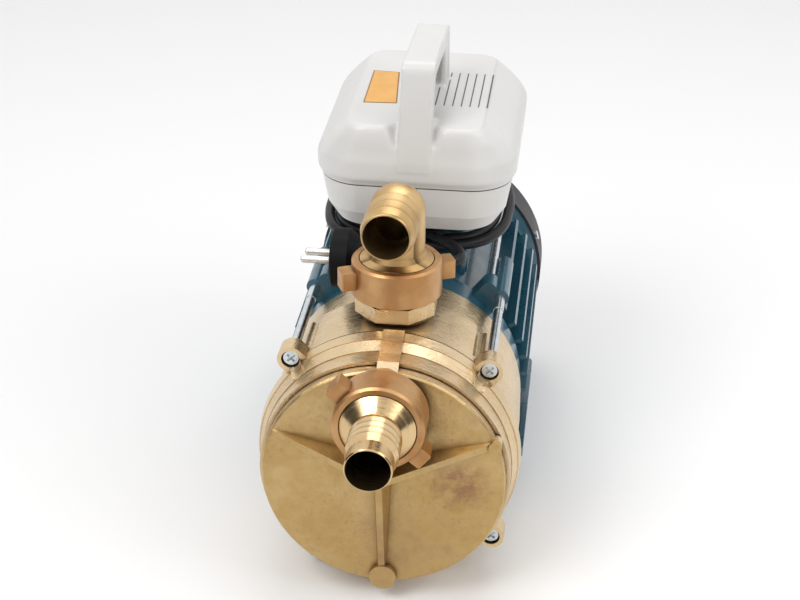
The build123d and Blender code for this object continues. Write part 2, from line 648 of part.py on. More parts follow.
with BuildPart() as delivery_elbow:
    revolve(outline([
        (ELBOW_SEAT, 0), (ELBOW_SEAT, TAIL_FLANGE_R), (ELBOW_SEAT + TAIL_FLANGE - FACE_GAP, TAIL_FLANGE_R),
        (ELBOW_SEAT + TAIL_FLANGE - FACE_GAP, COLLAR_R), (DELIVERY_NUT_TOP, COLLAR_R),
        (DELIVERY_NUT_TOP + 2.5, ELBOW_BODY_R + 1.5), (DELIVERY_NUT_TOP + 6, ELBOW_BODY_R),
        (ELBOW_ARM_RISE, ELBOW_BODY_R), (ELBOW_ARM_RISE, 0),
    ], DELIVERY_LINE), axis=DELIVERY_AXIS)
    with Locations(ARM_PLANE.origin):
        Sphere(ELBOW_BODY_R)
    revolve(outline(arm_points, ARM_PLANE), axis=ARM_AXIS)
    # the bore turns in a ball
    revolve(tube_profile(ELBOW_SEAT, ELBOW_ARM_RISE, 0, BORE_R, DELIVERY_LINE),
            axis=DELIVERY_AXIS, mode=Mode.SUBTRACT)
    with Locations(ARM_PLANE.origin):
        Sphere(ELBOW_BORE_R, mode=Mode.SUBTRACT)
    revolve(tube_profile(0, ELBOW_REACH, 0, ELBOW_BORE_R, ARM_PLANE), axis=ARM_AXIS, mode=Mode.SUBTRACT)
finish(delivery_elbow.part, "delivery_elbow")

# Motor shaft in steps: stud, pump end, front bearing seat, core, rear bearing seat, fan end
FRONT_BORE_R, FRONT_OUTER_R, FRONT_BEARING_WIDTH = FRONT_BEARING
REAR_BORE_R, REAR_OUTER_R, REAR_BEARING_WIDTH = REAR_BEARING
FRONT_BEARING_END = FRONT_BEARING_DEPTH + FRONT_BEARING_WIDTH
REAR_BEARING_END = REAR_BEARING_DEPTH + REAR_BEARING_WIDTH
FAN_END = FAN_DEPTH + FAN_WIDTH
with BuildPart() as motor_shaft:
    revolve(outline([
        (STUD_START, 0), (STUD_START, STUD_R), (IMPELLER_START, STUD_R), (IMPELLER_START, SHAFT_PUMP_R),
        (FRONT_BEARING_DEPTH, SHAFT_PUMP_R), (FRONT_BEARING_DEPTH, FRONT_BORE_R), (FRONT_BEARING_END, FRONT_BORE_R),
        (FRONT_BEARING_END, SHAFT_R), (REAR_BEARING_DEPTH, SHAFT_R), (REAR_BEARING_DEPTH, REAR_BORE_R),
        (REAR_BEARING_END, REAR_BORE_R), (REAR_BEARING_END, SHAFT_PUMP_R), (FAN_END, SHAFT_PUMP_R), (FAN_END, 0),
    ]), axis=SHAFT_AXIS)
    with BuildSketch(across(KEY_START)):
        with Locations((0, SHAFT_PUMP_R)):
            Rectangle(KEY, 4.6)
    extrude(amount=-KEY_LENGTH, mode=Mode.SUBTRACT)
finish(motor_shaft.part, "motor_shaft")

with BuildPart() as rotor:
    revolve(tube_profile(STACK_START, STACK_END, SHAFT_R, ROTOR_R), axis=SHAFT_AXIS)
    revolve(tube_profile(STACK_START - 6, STACK_END + 6, ROTOR_R - 11, ROTOR_R - 2), axis=SHAFT_AXIS)
finish(rotor.part, "rotor")


def bearing_rings(depth, bore, outer, width):
    """Outer ring with its balls and the inner ring that turns inside it."""
    split = (bore + outer) / 2
    with BuildPart() as outer_ring:
        revolve(tube_profile(depth, depth + width, split + RUNNING, outer), axis=SHAFT_AXIS)
    with BuildPart() as inner_ring:
        revolve(tube_profile(depth, depth + width, bore, split), axis=SHAFT_AXIS)
    return outer_ring.part, inner_ring.part


front_bearing_outer, front_bearing_inner = bearing_rings(
    FRONT_BEARING_DEPTH, FRONT_BORE_R, FRONT_OUTER_R, FRONT_BEARING_WIDTH)
finish(front_bearing_outer, "front_bearing_outer")
finish(front_bearing_inner, "front_bearing_inner")
rear_bearing_outer, rear_bearing_inner = bearing_rings(
    REAR_BEARING_DEPTH, REAR_BORE_R, REAR_OUTER_R, REAR_BEARING_WIDTH)
finish(rear_bearing_outer, "rear_bearing_outer")
finish(rear_bearing_inner, "rear_bearing_inner")

# Front shield with the bearing seat, four bosses on arms and the tie-rod ears
BEARING_LAND = 2.0
ROD_START = BOSS_ARM_REAR - 12.0
ROD_ANGLES = (ROD_ANGLE, 180 - ROD_ANGLE, 180 + ROD_ANGLE, 360 - ROD_ANGLE)
with BuildPart() as front_shield:
    revolve(outline([
        (CASING_DEPTH, SHAFT_R + 1), (CASING_DEPTH, 48), (CASING_DEPTH - SPIGOT, 48),
        (CASING_DEPTH - SPIGOT, DELIVERY_CHAMBER_R - SEAT), (CASING_DEPTH, DELIVERY_CHAMBER_R - SEAT),
        (CASING_DEPTH, SHIELD_R - 1), (CASING_DEPTH + 1, SHIELD_R), (HOUSING_DEPTH, SHIELD_R),
        (HOUSING_DEPTH, STATOR_R - SEAT), (HOUSING_DEPTH + SPIGOT, STATOR_R - SEAT), (HOUSING_DEPTH + SPIGOT, 56),
        (CASING_DEPTH + SHIELD_WALL, 56), (CASING_DEPTH + SHIELD_WALL, FRONT_OUTER_R + 7),
        (FRONT_BEARING_END + BEARING_LAND, FRONT_OUTER_R + 5), (FRONT_BEARING_END + BEARING_LAND, FRONT_OUTER_R),
        (FRONT_BEARING_DEPTH, FRONT_OUTER_R), (FRONT_BEARING_DEPTH, SHAFT_R + 1)]), axis=SHAFT_AXIS)
    for angle, rod_angle in zip(SCREW_ANGLES, ROD_ANGLES):
        with BuildSketch(across(BOSS_MOUTH)):
            with Locations(Location((*polar((SHIELD_R + SCREW_CIRCLE_R) / 2 - 2, angle), 0), (0, 0, angle))):
                Rectangle(SCREW_CIRCLE_R - SHIELD_R + 4, BOSS_ARM_WIDTH)
            with Locations(Location((*polar((SHIELD_R + ROD_CIRCLE_R) / 2 - 2, rod_angle), 0), (0, 0, rod_angle))):
                Rectangle(ROD_CIRCLE_R - SHIELD_R + 4, 2 * EAR_R)
            with Locations(polar(ROD_CIRCLE_R, rod_angle)):
                Circle(EAR_R)
        extrude(amount=-(BOSS_ARM_REAR - BOSS_MOUTH))
        with BuildSketch(across(BOSS_MOUTH)):
            with Locations(polar(SCREW_CIRCLE_R, angle)):
                Circle(BOSS_R)
        extrude(amount=-(BOSS_END - BOSS_MOUTH))
        with BuildSketch(across(BOSS_MOUTH)):
            with Locations(polar(SCREW_CIRCLE_R, angle)):
                Circle(SCREW_R + SEAT)
        extrude(amount=-(SCREW_GRIP + 4), mode=Mode.SUBTRACT)
        # the tie rods end blind in their ears
        with BuildSketch(across(ROD_START)):
            with Locations(polar(ROD_CIRCLE_R, rod_angle)):
                Circle(ROD_R + SEAT)
        extrude(amount=-(BOSS_END - ROD_START), mode=Mode.SUBTRACT)
    revolve(tube_profile(HOUSING_DEPTH, BOSS_END + 1, STATOR_R, HOUSING_R + SEAT), axis=SHAFT_AXIS, mode=Mode.SUBTRACT)
finish(front_shield.part, "front_shield")

with BuildPart() as wave_spring:
    revolve(tube_profile(FRONT_BEARING_END, FRONT_BEARING_END + BEARING_LAND, FRONT_OUTER_R - 3, FRONT_OUTER_R),
            axis=SHAFT_AXIS)
finish(wave_spring.part, "wave_spring")

# Finned stator housing with the terminal seat on top and the foot pad below
PEDESTAL_FRONT = PEDESTAL_DEPTH - PEDESTAL_LENGTH / 2
FOOT_TOP = -SHAFT_Z + FOOT_PLATE
WIRE_WAY = (26.0, 22.0)
with BuildPart() as stator_housing:
    revolve(tube_profile(HOUSING_DEPTH, HOUSING_END, STATOR_R, HOUSING_R), axis=SHAFT_AXIS)
    with BuildSketch(across(HOUSING_DEPTH + 2)):
        for side in (1, -1):
            for number in range(SIDE_FINS):
                angle = TOP_FIN_ANGLE - number * FIN_PITCH
                middle = polar((HOUSING_R + FIN_R) / 2 - 1, angle)
                with Locations(Location((side * middle[0], middle[1], 0), (0, 0, side * angle))):
                    Rectangle(FIN_R - HOUSING_R + 2, FIN)
    extrude(amount=-(HOUSING_END - HOUSING_DEPTH - 4))
    with BuildSketch(level(HOUSING_R - 8, depth=PEDESTAL_DEPTH)):
        RectangleRounded(PEDESTAL_WIDTH, PEDESTAL_LENGTH, 8)
    extrude(amount=BOX_FLOOR - HOUSING_R + 8)
    with BuildSketch(level(FOOT_TOP)):
        RectangleRounded(FOOT_PAD_WIDTH, FOOT_PAD_LENGTH, 4)
    extrude(amount=-FOOT_TOP - HOUSING_R + 3)
    revolve(tube_profile(HOUSING_DEPTH, HOUSING_END, 0, STATOR_R), axis=SHAFT_AXIS, mode=Mode.SUBTRACT)
    with BuildSketch(level(HOUSING_R - 12, depth=PEDESTAL_DEPTH)):
        RectangleRounded(*WIRE_WAY, 4)
    extrude(amount=BOX_FLOOR, mode=Mode.SUBTRACT)
    # tapped holes for the box screws and the foot screws
    with BuildSketch(level(BOX_FLOOR, depth=PEDESTAL_DEPTH)):
        with GridLocations(PEDESTAL_WIDTH - 22, PEDESTAL_LENGTH - 20, 2, 2):
            Circle(2.1)
    extrude(amount=-14, mode=Mode.SUBTRACT)
    with BuildSketch(level(FOOT_TOP)):
        with GridLocations(FOOT_PAD_WIDTH - 16, FOOT_SCREW_SPACING, 2, 2):
            Circle(2.6)
    extrude(amount=12, mode=Mode.SUBTRACT)
finish(stator_housing.part, "stator_housing")

SLOTS = 24
SLOT_LENGTH = 9.0
SLOT_WIDTH = 4.6
SLOT_R = 49.0
with BuildPart() as stator_core:
    with BuildSketch(across(STACK_START)):
        Circle(STATOR_R - SEAT / 2)
        Circle(ROTOR_R + AIR_GAP, mode=Mode.SUBTRACT)
        with PolarLocations(SLOT_R, SLOTS):
            Rectangle(SLOT_LENGTH, SLOT_WIDTH, mode=Mode.SUBTRACT)
    extrude(amount=-(STACK_END - STACK_START))
finish(stator_core.part, "stator_core")

END_TURN = 16.0
with BuildPart() as stator_winding:
    with BuildSketch(across(STACK_START - SEAT)):
        with PolarLocations(SLOT_R, SLOTS):
            Rectangle(SLOT_LENGTH - 2 * SEAT, SLOT_WIDTH - 2 * SEAT)
    extrude(amount=-(STACK_END - STACK_START + 2 * SEAT))
    for start in (STACK_START - SEAT - END_TURN, STACK_END + SEAT):
        revolve(tube_profile(start, start + END_TURN, SLOT_R - SLOT_LENGTH / 2, SLOT_R + SLOT_LENGTH / 2),
                axis=SHAFT_AXIS)
finish(stator_winding.part, "stator_winding")

# Rear shield, its rim carries the fan cover
COVER_SCREW_ANGLES = (20.0, 160.0, 200.0, 340.0)
COVER_SCREW_R = 1.6
COVER_SCREW_GRIP = 4.5
COVER_SEAT_R = COVER_R - COVER_WALL - SEAT / 2
REAR_SHIELD_END = HOUSING_END + REAR_SHIELD_LENGTH
COVER_SCREW_DEPTH = (COVER_DEPTH + REAR_SHIELD_END) / 2


def cover_screw_cylinder(angle, start, length, radius):
    """Cylinder along the axis of one radial cover screw."""
    radial = Plane(origin=(0, FACE_Y + COVER_SCREW_DEPTH, SHAFT_Z), x_dir=(0, 1, 0),
                   z_dir=(cos(radians(angle)), 0, sin(radians(angle))))
    with BuildPart() as cylinder:
        with BuildSketch(radial.offset(start)):
            Circle(radius)
        extrude(amount=length)
    return cylinder.part


with BuildPart() as rear_shield:
    revolve(outline([
        (HOUSING_END - SPIGOT, 56), (HOUSING_END - SPIGOT, STATOR_R - SEAT), (HOUSING_END, STATOR_R - SEAT),
        (HOUSING_END, SHIELD_R), (COVER_DEPTH - 4, SHIELD_R), (COVER_DEPTH - 2, COVER_SEAT_R),
        (REAR_SHIELD_END, COVER_SEAT_R), (REAR_SHIELD_END, COVER_SEAT_R - 6), (COVER_DEPTH, COVER_SEAT_R - 10),
        (REAR_BEARING_END, REAR_OUTER_R + 5), (REAR_BEARING_END + BEARING_LAND, REAR_OUTER_R + 5),
        (REAR_BEARING_END + BEARING_LAND, SHAFT_PUMP_R + 1.5), (REAR_BEARING_END, SHAFT_PUMP_R + 1.5),
        (REAR_BEARING_END, REAR_OUTER_R), (REAR_BEARING_DEPTH, REAR_OUTER_R), (REAR_BEARING_DEPTH, REAR_OUTER_R + 5),
        (HOUSING_END + 5, 56)]), axis=SHAFT_AXIS)
    for angle in ROD_ANGLES:
        with BuildSketch(across(HOUSING_END)):
            with Locations(Location((*polar((SHIELD_R + ROD_CIRCLE_R) / 2 - 2, angle), 0), (0, 0, angle))):
                Rectangle(ROD_CIRCLE_R - SHIELD_R + 4, 2 * EAR_R)
            with Locations(polar(ROD_CIRCLE_R, angle)):
                Circle(EAR_R)
                Circle(ROD_R + SEAT, mode=Mode.SUBTRACT)
        extrude(amount=-EAR_REAR_LENGTH)
    for angle in COVER_SCREW_ANGLES:
        add(cover_screw_cylinder(angle, COVER_SEAT_R - COVER_SCREW_GRIP, COVER_SCREW_GRIP + 1, COVER_SCREW_R + SEAT),
            mode=Mode.SUBTRACT)
finish(rear_shield.part, "rear_shield")

NUT_HEIGHT = 4.0
ROD_END = HOUSING_END + EAR_REAR_LENGTH + NUT_HEIGHT + 1
with BuildPart() as tie_rods:
    with BuildSketch(across(ROD_START)):
        for angle in ROD_ANGLES:
            with Locations(polar(ROD_CIRCLE_R, angle)):
                Circle(ROD_R)
    extrude(amount=-(ROD_END - ROD_START))
finish(tie_rods.part, "tie_rods")

with BuildPart() as tie_rod_nuts:
    with BuildSketch(across(HOUSING_END + EAR_REAR_LENGTH)):
        for angle in ROD_ANGLES:
            with Locations(Location((*polar(ROD_CIRCLE_R, angle), 0), (0, 0, angle))):
                RegularPolygon(ROD_NUT_FLATS / 2, 6, major_radius=False)
                Circle(ROD_R, mode=Mode.SUBTRACT)
    extrude(amount=-NUT_HEIGHT)
finish(tie_rod_nuts.part, "tie_rod_nuts")

# Fan and its slotted cover
with BuildPart() as fan_cover:
    revolve(outline([
        (COVER_DEPTH, COVER_R - COVER_WALL), (COVER_DEPTH, COVER_R), (COVER_END - COVER_EDGE, COVER_R),
        (COVER_END, COVER_R - COVER_EDGE), (COVER_END, 0), (COVER_END - COVER_WALL, 0),
        (COVER_END - COVER_WALL, COVER_R - COVER_EDGE - 1), (COVER_END - COVER_EDGE - 1, COVER_R - COVER_WALL)]),
        axis=SHAFT_AXIS)
    with BuildSketch(across(COVER_END - COVER_WALL - 1)):
        with PolarLocations(GRILLE_R, GRILLE_SLOTS):
            SlotOverall(GRILLE_LENGTH, GRILLE_SLOT)
    extrude(amount=-COVER_WALL - 2, mode=Mode.SUBTRACT)
    for angle in COVER_SCREW_ANGLES:
        add(cover_screw_cylinder(angle, COVER_SEAT_R - 1, COVER_WALL + 2, COVER_SCREW_R + SEAT), mode=Mode.SUBTRACT)
finish(fan_cover.part, "fan_cover")

with BuildPart() as cover_screws:
    for angle in COVER_SCREW_ANGLES:
        add(cover_screw_cylinder(angle, COVER_SEAT_R - COVER_SCREW_GRIP, COVER_R - COVER_SEAT_R + COVER_SCREW_GRIP,
                                 COVER_SCREW_R))
        add(cover_screw_cylinder(angle, COVER_R, 1.8, 2 * COVER_SCREW_R))
finish(cover_screws.part, "cover_screws")

with BuildPart() as fan:
    revolve(tube_profile(FAN_DEPTH, FAN_DEPTH + 2, SHAFT_PUMP_R, FAN_R), axis=SHAFT_AXIS)
    revolve(tube_profile(FAN_DEPTH, FAN_END, SHAFT_PUMP_R, SHAFT_PUMP_R + 6), axis=SHAFT_AXIS)
    with BuildSketch(across(FAN_DEPTH)):
        with PolarLocations((FAN_R + SHAFT_PUMP_R + 4) / 2, FAN_BLADES):
            Rectangle(FAN_R - SHAFT_PUMP_R - 5, 2.2)
    extrude(amount=-FAN_WIDTH)
finish(fan.part, "fan")

# Foot plate with a raised rim, screwed to the housing pad from below
with BuildPart() as motor_foot:
    with BuildSketch(level(-SHAFT_Z)):
        RectangleRounded(FOOT_WIDTH, FOOT_LENGTH, FOOT_CORNER_R)
        with GridLocations(FOOT_HOLES_X, FOOT_HOLES_Y, 2, 2):
            Circle(FOOT_HOLE_R, mode=Mode.SUBTRACT)
        with GridLocations(FOOT_PAD_WIDTH - 16, FOOT_SCREW_SPACING, 2, 2):
            Circle(2.6, mode=Mode.SUBTRACT)
    extrude(amount=FOOT_PLATE)
    with BuildSketch(level(FOOT_TOP)):
        RectangleRounded(FOOT_WIDTH, FOOT_LENGTH, FOOT_CORNER_R)
        RectangleRounded(FOOT_WIDTH - 2 * FOOT_LIP, FOOT_LENGTH - 2 * FOOT_LIP, FOOT_CORNER_R - FOOT_LIP,
                         mode=Mode.SUBTRACT)
    extrude(amount=FOOT_LIP)
    with BuildSketch(level(-SHAFT_Z)):
        with GridLocations(FOOT_PAD_WIDTH - 16, FOOT_SCREW_SPACING, 2, 2):
            Circle(FOOT_HEAD_R + 0.2)
    extrude(amount=FOOT_HEAD + 0.3, mode=Mode.SUBTRACT)
    revolve(tube_profile(HOUSING_DEPTH, COVER_END, 0, COVER_R + 0.8), axis=SHAFT_AXIS, mode=Mode.SUBTRACT)
finish(motor_foot.part, "motor_foot")

with BuildPart() as foot_screws:
    with BuildSketch(level(-SHAFT_Z + 0.3)):
        with GridLocations(FOOT_PAD_WIDTH - 16, FOOT_SCREW_SPACING, 2, 2):
            Circle(FOOT_HEAD_R)
    extrude(amount=FOOT_HEAD)
    with BuildSketch(level(-SHAFT_Z + 0.3 + FOOT_HEAD)):
        with GridLocations(FOOT_PAD_WIDTH - 16, FOOT_SCREW_SPACING, 2, 2):
            Circle(2.5)
    extrude(amount=12)
finish(foot_screws.part, "foot_screws")

# Terminal box
PEDESTAL_HOLES = (PEDESTAL_WIDTH - 22, PEDESTAL_LENGTH - 20)
BASE_SECTIONS = ((BOX_FLOOR, BASE_BOTTOM, 0.0), (BOX_FLOOR + 10, BASE_MIDDLE, 0.0), (SEAM, BASE_TOP, 0.0))
LID_SECTIONS = (
    (SEAM + GASKET, BASE_TOP, 0.0), (LID_WIDEST_Z, LID_WIDEST, 0.0), (LID_SHOULDER_Z, LID_WIDEST, 0.0),
    (LID_TOP_Z, LID_TOP, LID_TOP_SHIFT))


def moulding(sections, inset=0.0, lift=0.0):
    """Rounded shell form through level sections, or its inside when inset."""
    with BuildPart() as form:
        for rise, (width, length, radius), shift in sections:
            with BuildSketch(level(rise + lift, BOX_X, BOX_DEPTH + shift)):
                RectangleRounded(width - 2 * inset, length - 2 * inset, radius - inset)
        loft(ruled=True)
    return form.part


def box_posts(start, end, radius):
    """Four posts, or cutters for holes, at the corners of the box."""
    with BuildPart() as posts:
        with BuildSketch(level(start, BOX_X, BOX_DEPTH)):
            with GridLocations(POST_X, POST_Y, 2, 2):
                Circle(radius)
        extrude(amount=end - start)
    return posts.part


def cavity(sections, lift):
    """Inside of a moulding, less the screw posts that stand in it."""
    with BuildPart() as inside:
        add(moulding(sections, BOX_WALL, lift))
        add(box_posts(BOX_FLOOR - 1, LID_TOP_Z + 1, POST_R), mode=Mode.SUBTRACT)
    return inside.part


# the flat pad on the rear wall carries the cable gland and the switch
PAD_FACE = BOX_DEPTH + BASE_TOP[1] / 2 + REAR_PAD_PROUD
REAR_PAD_X = (GLAND_X + SWITCH_X) / 2
REAR_WALL = Plane(origin=(0, FACE_Y + PAD_FACE, SHAFT_Z), x_dir=(1, 0, 0), z_dir=(0, -1, 0))
with BuildPart() as terminal_base:
    add(moulding(BASE_SECTIONS))
    with BuildSketch(REAR_WALL):
        with Locations((REAR_PAD_X, (BOX_FLOOR + SEAM) / 2)):
            RectangleRounded(REAR_PAD_WIDTH, SEAM - BOX_FLOOR - 3, 4)
    extrude(amount=REAR_PAD_PROUD + 20)
    add(cavity(BASE_SECTIONS, 0.01), mode=Mode.SUBTRACT)
    with BuildSketch(level(BOX_FLOOR, BOX_X, BOX_DEPTH)):
        RectangleRounded(BASE_BOTTOM[0], BASE_BOTTOM[1], BASE_BOTTOM[2])
    extrude(amount=BOX_WALL)
    add(box_posts(BOX_FLOOR, SEAM, LID_SCREW_R + 0.2), mode=Mode.SUBTRACT)
    add(box_posts(BOX_FLOOR, LID_SCREW_SEAT, LID_SCREW_HEAD_R + 0.3), mode=Mode.SUBTRACT)
    # way for the wires and holes for the base screws
    with BuildSketch(level(BOX_FLOOR, depth=PEDESTAL_DEPTH)):
        RectangleRounded(*WIRE_WAY, 4)
        with GridLocations(*PEDESTAL_HOLES, 2, 2):
            Circle(2.3)
    extrude(amount=BOX_WALL, mode=Mode.SUBTRACT)
    # holes in the rear pad
    with BuildSketch(REAR_WALL):
        with Locations((GLAND_X, GLAND_Z)):
            Circle(GLAND_THREAD_R + SEAT)
        with Locations((SWITCH_X, SWITCH_Z)):
            Rectangle(SWITCH_SIZE[0] - 3, SWITCH_SIZE[1] - 3)
    extrude(amount=REAR_PAD_PROUD + 20, mode=Mode.SUBTRACT)
finish(terminal_base.part, "terminal_base")

with BuildPart() as terminal_gasket:
    with BuildSketch(level(SEAM, BOX_X, BOX_DEPTH)):
        RectangleRounded(BASE_TOP[0] - 0.6, BASE_TOP[1] - 0.6, BASE_TOP[2] - 0.3)
        RectangleRounded(BASE_TOP[0] - 2 * BOX_WALL, BASE_TOP[1] - 2 * BOX_WALL, BASE_TOP[2] - BOX_WALL,
                         mode=Mode.SUBTRACT)
    extrude(amount=GASKET)
finish(terminal_gasket.part, "terminal_gasket")

# lid with the carrying handle moulded on
HANDLE_PLANE = Plane(origin=(BOX_X, FACE_Y, SHAFT_Z), x_dir=(0, 1, 0), z_dir=(1, 0, 0))
HANDLE_INNER = HANDLE_TOP - HANDLE_THICKNESS
# how far the front leg leans back between the lid's top and the handle's
HANDLE_LEAN = (HANDLE_TOP - LID_TOP_Z) * (HANDLE_FRONT_BEND - HANDLE_FRONT[0]) / (HANDLE_TOP - HANDLE_FRONT[1] + 2)
with BuildPart() as terminal_lid:
    add(moulding(LID_SECTIONS))
    with BuildSketch(HANDLE_PLANE):
        with BuildLine():
            FilletPolyline(
                (HANDLE_FRONT[0] + 12, HANDLE_FRONT[1] - 2), (HANDLE_FRONT[0] - 3, HANDLE_FRONT[1] - 2),
                (HANDLE_FRONT_BEND - 3, HANDLE_TOP), (HANDLE_REAR, HANDLE_TOP), (HANDLE_REAR_FOOT, LID_TOP_Z - 2),
                (HANDLE_REAR_FOOT - 18, LID_TOP_Z - 2), (HANDLE_REAR - 12, HANDLE_INNER),
                (HANDLE_FRONT_BEND + 11, HANDLE_INNER), (HANDLE_FRONT_BEND + 13, LID_TOP_Z - 2), close=True,
                radius=[0.5, 1.0, HANDLE_BEND_R, HANDLE_BEND_R, 0.5, 0.5, HANDLE_BEND_R - 5, HANDLE_BEND_R - 5, 0.5])
        make_face()
    extrude(amount=HANDLE_WIDTH / 2, both=True)
    # the handle is a channel, open towards the hand
    with BuildSketch(HANDLE_PLANE):
        with BuildLine():
            Polyline(
                (HANDLE_FRONT_BEND - 3 - HANDLE_LEAN + HANDLE_SKIN + 1, LID_TOP_Z + 1),
                (HANDLE_FRONT_BEND + HANDLE_SKIN, HANDLE_TOP - HANDLE_SKIN),
                (HANDLE_REAR - HANDLE_SKIN, HANDLE_TOP - HANDLE_SKIN),
                (HANDLE_REAR_FOOT - HANDLE_SKIN - 1, LID_TOP_Z + 1), close=True)
        make_face()
    extrude(amount=HANDLE_WIDTH / 2 - HANDLE_SKIN, both=True, mode=Mode.SUBTRACT)
    add(cavity(LID_SECTIONS, -0.01), mode=Mode.SUBTRACT)
    with BuildSketch(level(LID_TOP_Z, BOX_X, BOX_DEPTH + LID_TOP_SHIFT)):
        RectangleRounded(*LID_TOP)
    extrude(amount=-BOX_WALL)
    add(box_posts(SEAM, LID_SCREW_END + 1, LID_SCREW_R), mode=Mode.SUBTRACT)
finish(terminal_lid.part, "terminal_lid")

with BuildPart() as lid_screws:
    add(box_posts(LID_SCREW_SEAT - LID_SCREW_HEAD, LID_SCREW_SEAT, LID_SCREW_HEAD_R))
    add(box_posts(LID_SCREW_SEAT, LID_SCREW_END, LID_SCREW_R))
finish(lid_screws.part, "lid_screws")

with BuildPart() as base_screws:
    for start, height, radius in ((BOX_FLOOR + BOX_WALL, 2.6, 4.0), (BOX_FLOOR - 10, 10 + BOX_WALL, 2.0)):
        with BuildSketch(level(start, depth=PEDESTAL_DEPTH)):
            with GridLocations(*PEDESTAL_HOLES, 2, 2):
                Circle(radius)
        extrude(amount=height)
finish(base_screws.part, "base_screws")

# Parts inside the box
INSIDE_FLOOR = BOX_FLOOR + BOX_WALL
with BuildPart() as terminal_block:
    with BuildSketch(level(INSIDE_FLOOR, BOX_X, TERMINAL_DEPTH)):
        Rectangle(46, 16)
    extrude(amount=12)
    with BuildSketch(level(INSIDE_FLOOR, BOX_X, TERMINAL_DEPTH)):
        Rectangle(46, 8)
    extrude(amount=18)
    with BuildSketch(level(INSIDE_FLOOR + 12, BOX_X, TERMINAL_DEPTH)):
        with GridLocations(11, 12, 4, 2):
            Circle(1.6)
    extrude(amount=-6, mode=Mode.SUBTRACT)
finish(terminal_block.part, "terminal_block")

with BuildPart() as run_capacitor:
    with BuildSketch(Plane.YZ.offset(BOX_X - CAPACITOR_LENGTH / 2)):
        with Locations((FACE_Y + CAPACITOR_DEPTH, SHAFT_Z + INSIDE_FLOOR + CAPACITOR_R)):
            Circle(CAPACITOR_R)
    extrude(amount=CAPACITOR_LENGTH)
    chamfer(run_capacitor.edges().filter_by(GeomType.CIRCLE), 1.0)
finish(run_capacitor.part, "run_capacitor")

# Cable gland: body through the pad with its dome nut, and the lock nut inside
GLAND_BODY_R = 10.0
GLAND_LENGTH = 19.0
GLAND_LINE = Plane(origin=(GLAND_X, FACE_Y + PAD_FACE, SHAFT_Z + GLAND_Z), x_dir=(0, 1, 0), z_dir=(1, 0, 0))
GLAND_AXIS = Axis(GLAND_LINE.origin, (0, 1, 0))
GLAND_INSIDE = -REAR_PAD_PROUD - BOX_WALL
with BuildPart() as cable_gland:
    revolve(outline([
        (GLAND_INSIDE - 5, CORD_R), (GLAND_INSIDE - 5, GLAND_THREAD_R), (0, GLAND_THREAD_R), (0, GLAND_BODY_R),
        (5, GLAND_BODY_R), (5, GLAND_BODY_R - 1), (6, GLAND_BODY_R - 1), (6, GLAND_BODY_R), (13, GLAND_BODY_R),
        (GLAND_LENGTH, CORD_R + 2.6), (GLAND_LENGTH, CORD_R)], GLAND_LINE), axis=GLAND_AXIS)
finish(cable_gland.part, "cable_gland")

with BuildPart() as cord_relief:
    revolve(outline([
        (GLAND_LENGTH, CORD_R), (GLAND_LENGTH, CORD_R + 2.3), (GLAND_LENGTH + RELIEF_LENGTH, CORD_R + 0.7),
        (GLAND_LENGTH + RELIEF_LENGTH, CORD_R)], GLAND_LINE), axis=GLAND_AXIS)
finish(cord_relief.part, "cord_relief")

# Rocker switch on the rear pad: frame, body box and a rocker on two stub pins
ROCKER_LONG, ROCKER_SHORT = ROCKER_SIZE
PIVOT_Y = FACE_Y + PAD_FACE + 2.0
SWITCH_PIVOT = (SWITCH_X, PIVOT_Y, SHAFT_Z + SWITCH_Z)
with BuildPart() as switch_frame:
    with BuildSketch(REAR_WALL):
        with Locations((SWITCH_X, SWITCH_Z)):
            RectangleRounded(*SWITCH_SIZE, 1.5)
    extrude(amount=-3)
    with BuildSketch(REAR_WALL):
        with Locations((SWITCH_X, SWITCH_Z)):
            Rectangle(SWITCH_SIZE[0] - 3.4, SWITCH_SIZE[1] - 3.4)
    extrude(amount=SWITCH_BODY)
    with BuildSketch(REAR_WALL.offset(-4)):
        with Locations((SWITCH_X, SWITCH_Z)):
            Rectangle(ROCKER_LONG + 0.6, ROCKER_SHORT + 0.4)
    extrude(amount=4 + ROCKER_ROOM, mode=Mode.SUBTRACT)
    with BuildSketch(Plane.XY.offset(SHAFT_Z + SWITCH_Z)):
        with Locations((SWITCH_X, PIVOT_Y - 4)):
            Circle(PIVOT_R + RUNNING)
    extrude(amount=ROCKER_SHORT / 2 + 1.4, both=True, mode=Mode.SUBTRACT)
finish(switch_frame.part, "switch_frame")

with BuildPart() as switch_rocker:
    with BuildSketch(Plane(origin=(SWITCH_X, PIVOT_Y - 4, SHAFT_Z + SWITCH_Z), x_dir=(1, 0, 0), z_dir=(0, 0, 1))):
        Circle(ROCKER_LONG / 2 + 0.05)
        with BuildLine():
            Polyline(*[Vector(x, y, 0).rotate(Axis.Z, ROCKER_TILT) for x, y in (
                (-ROCKER_LONG, -3.5), (ROCKER_LONG, -3.5), (ROCKER_LONG, 11.5), (0, 4.6), (-ROCKER_LONG, 11.5))],
                close=True)
        make_face(mode=Mode.INTERSECT)
    extrude(amount=ROCKER_SHORT / 2, both=True)
    with BuildSketch(Plane.XY.offset(SHAFT_Z + SWITCH_Z)):
        with Locations((SWITCH_X, PIVOT_Y - 4)):
            Circle(PIVOT_R)
    extrude(amount=ROCKER_SHORT / 2 + 1.2, both=True)
finish(switch_rocker.part, "switch_rocker")

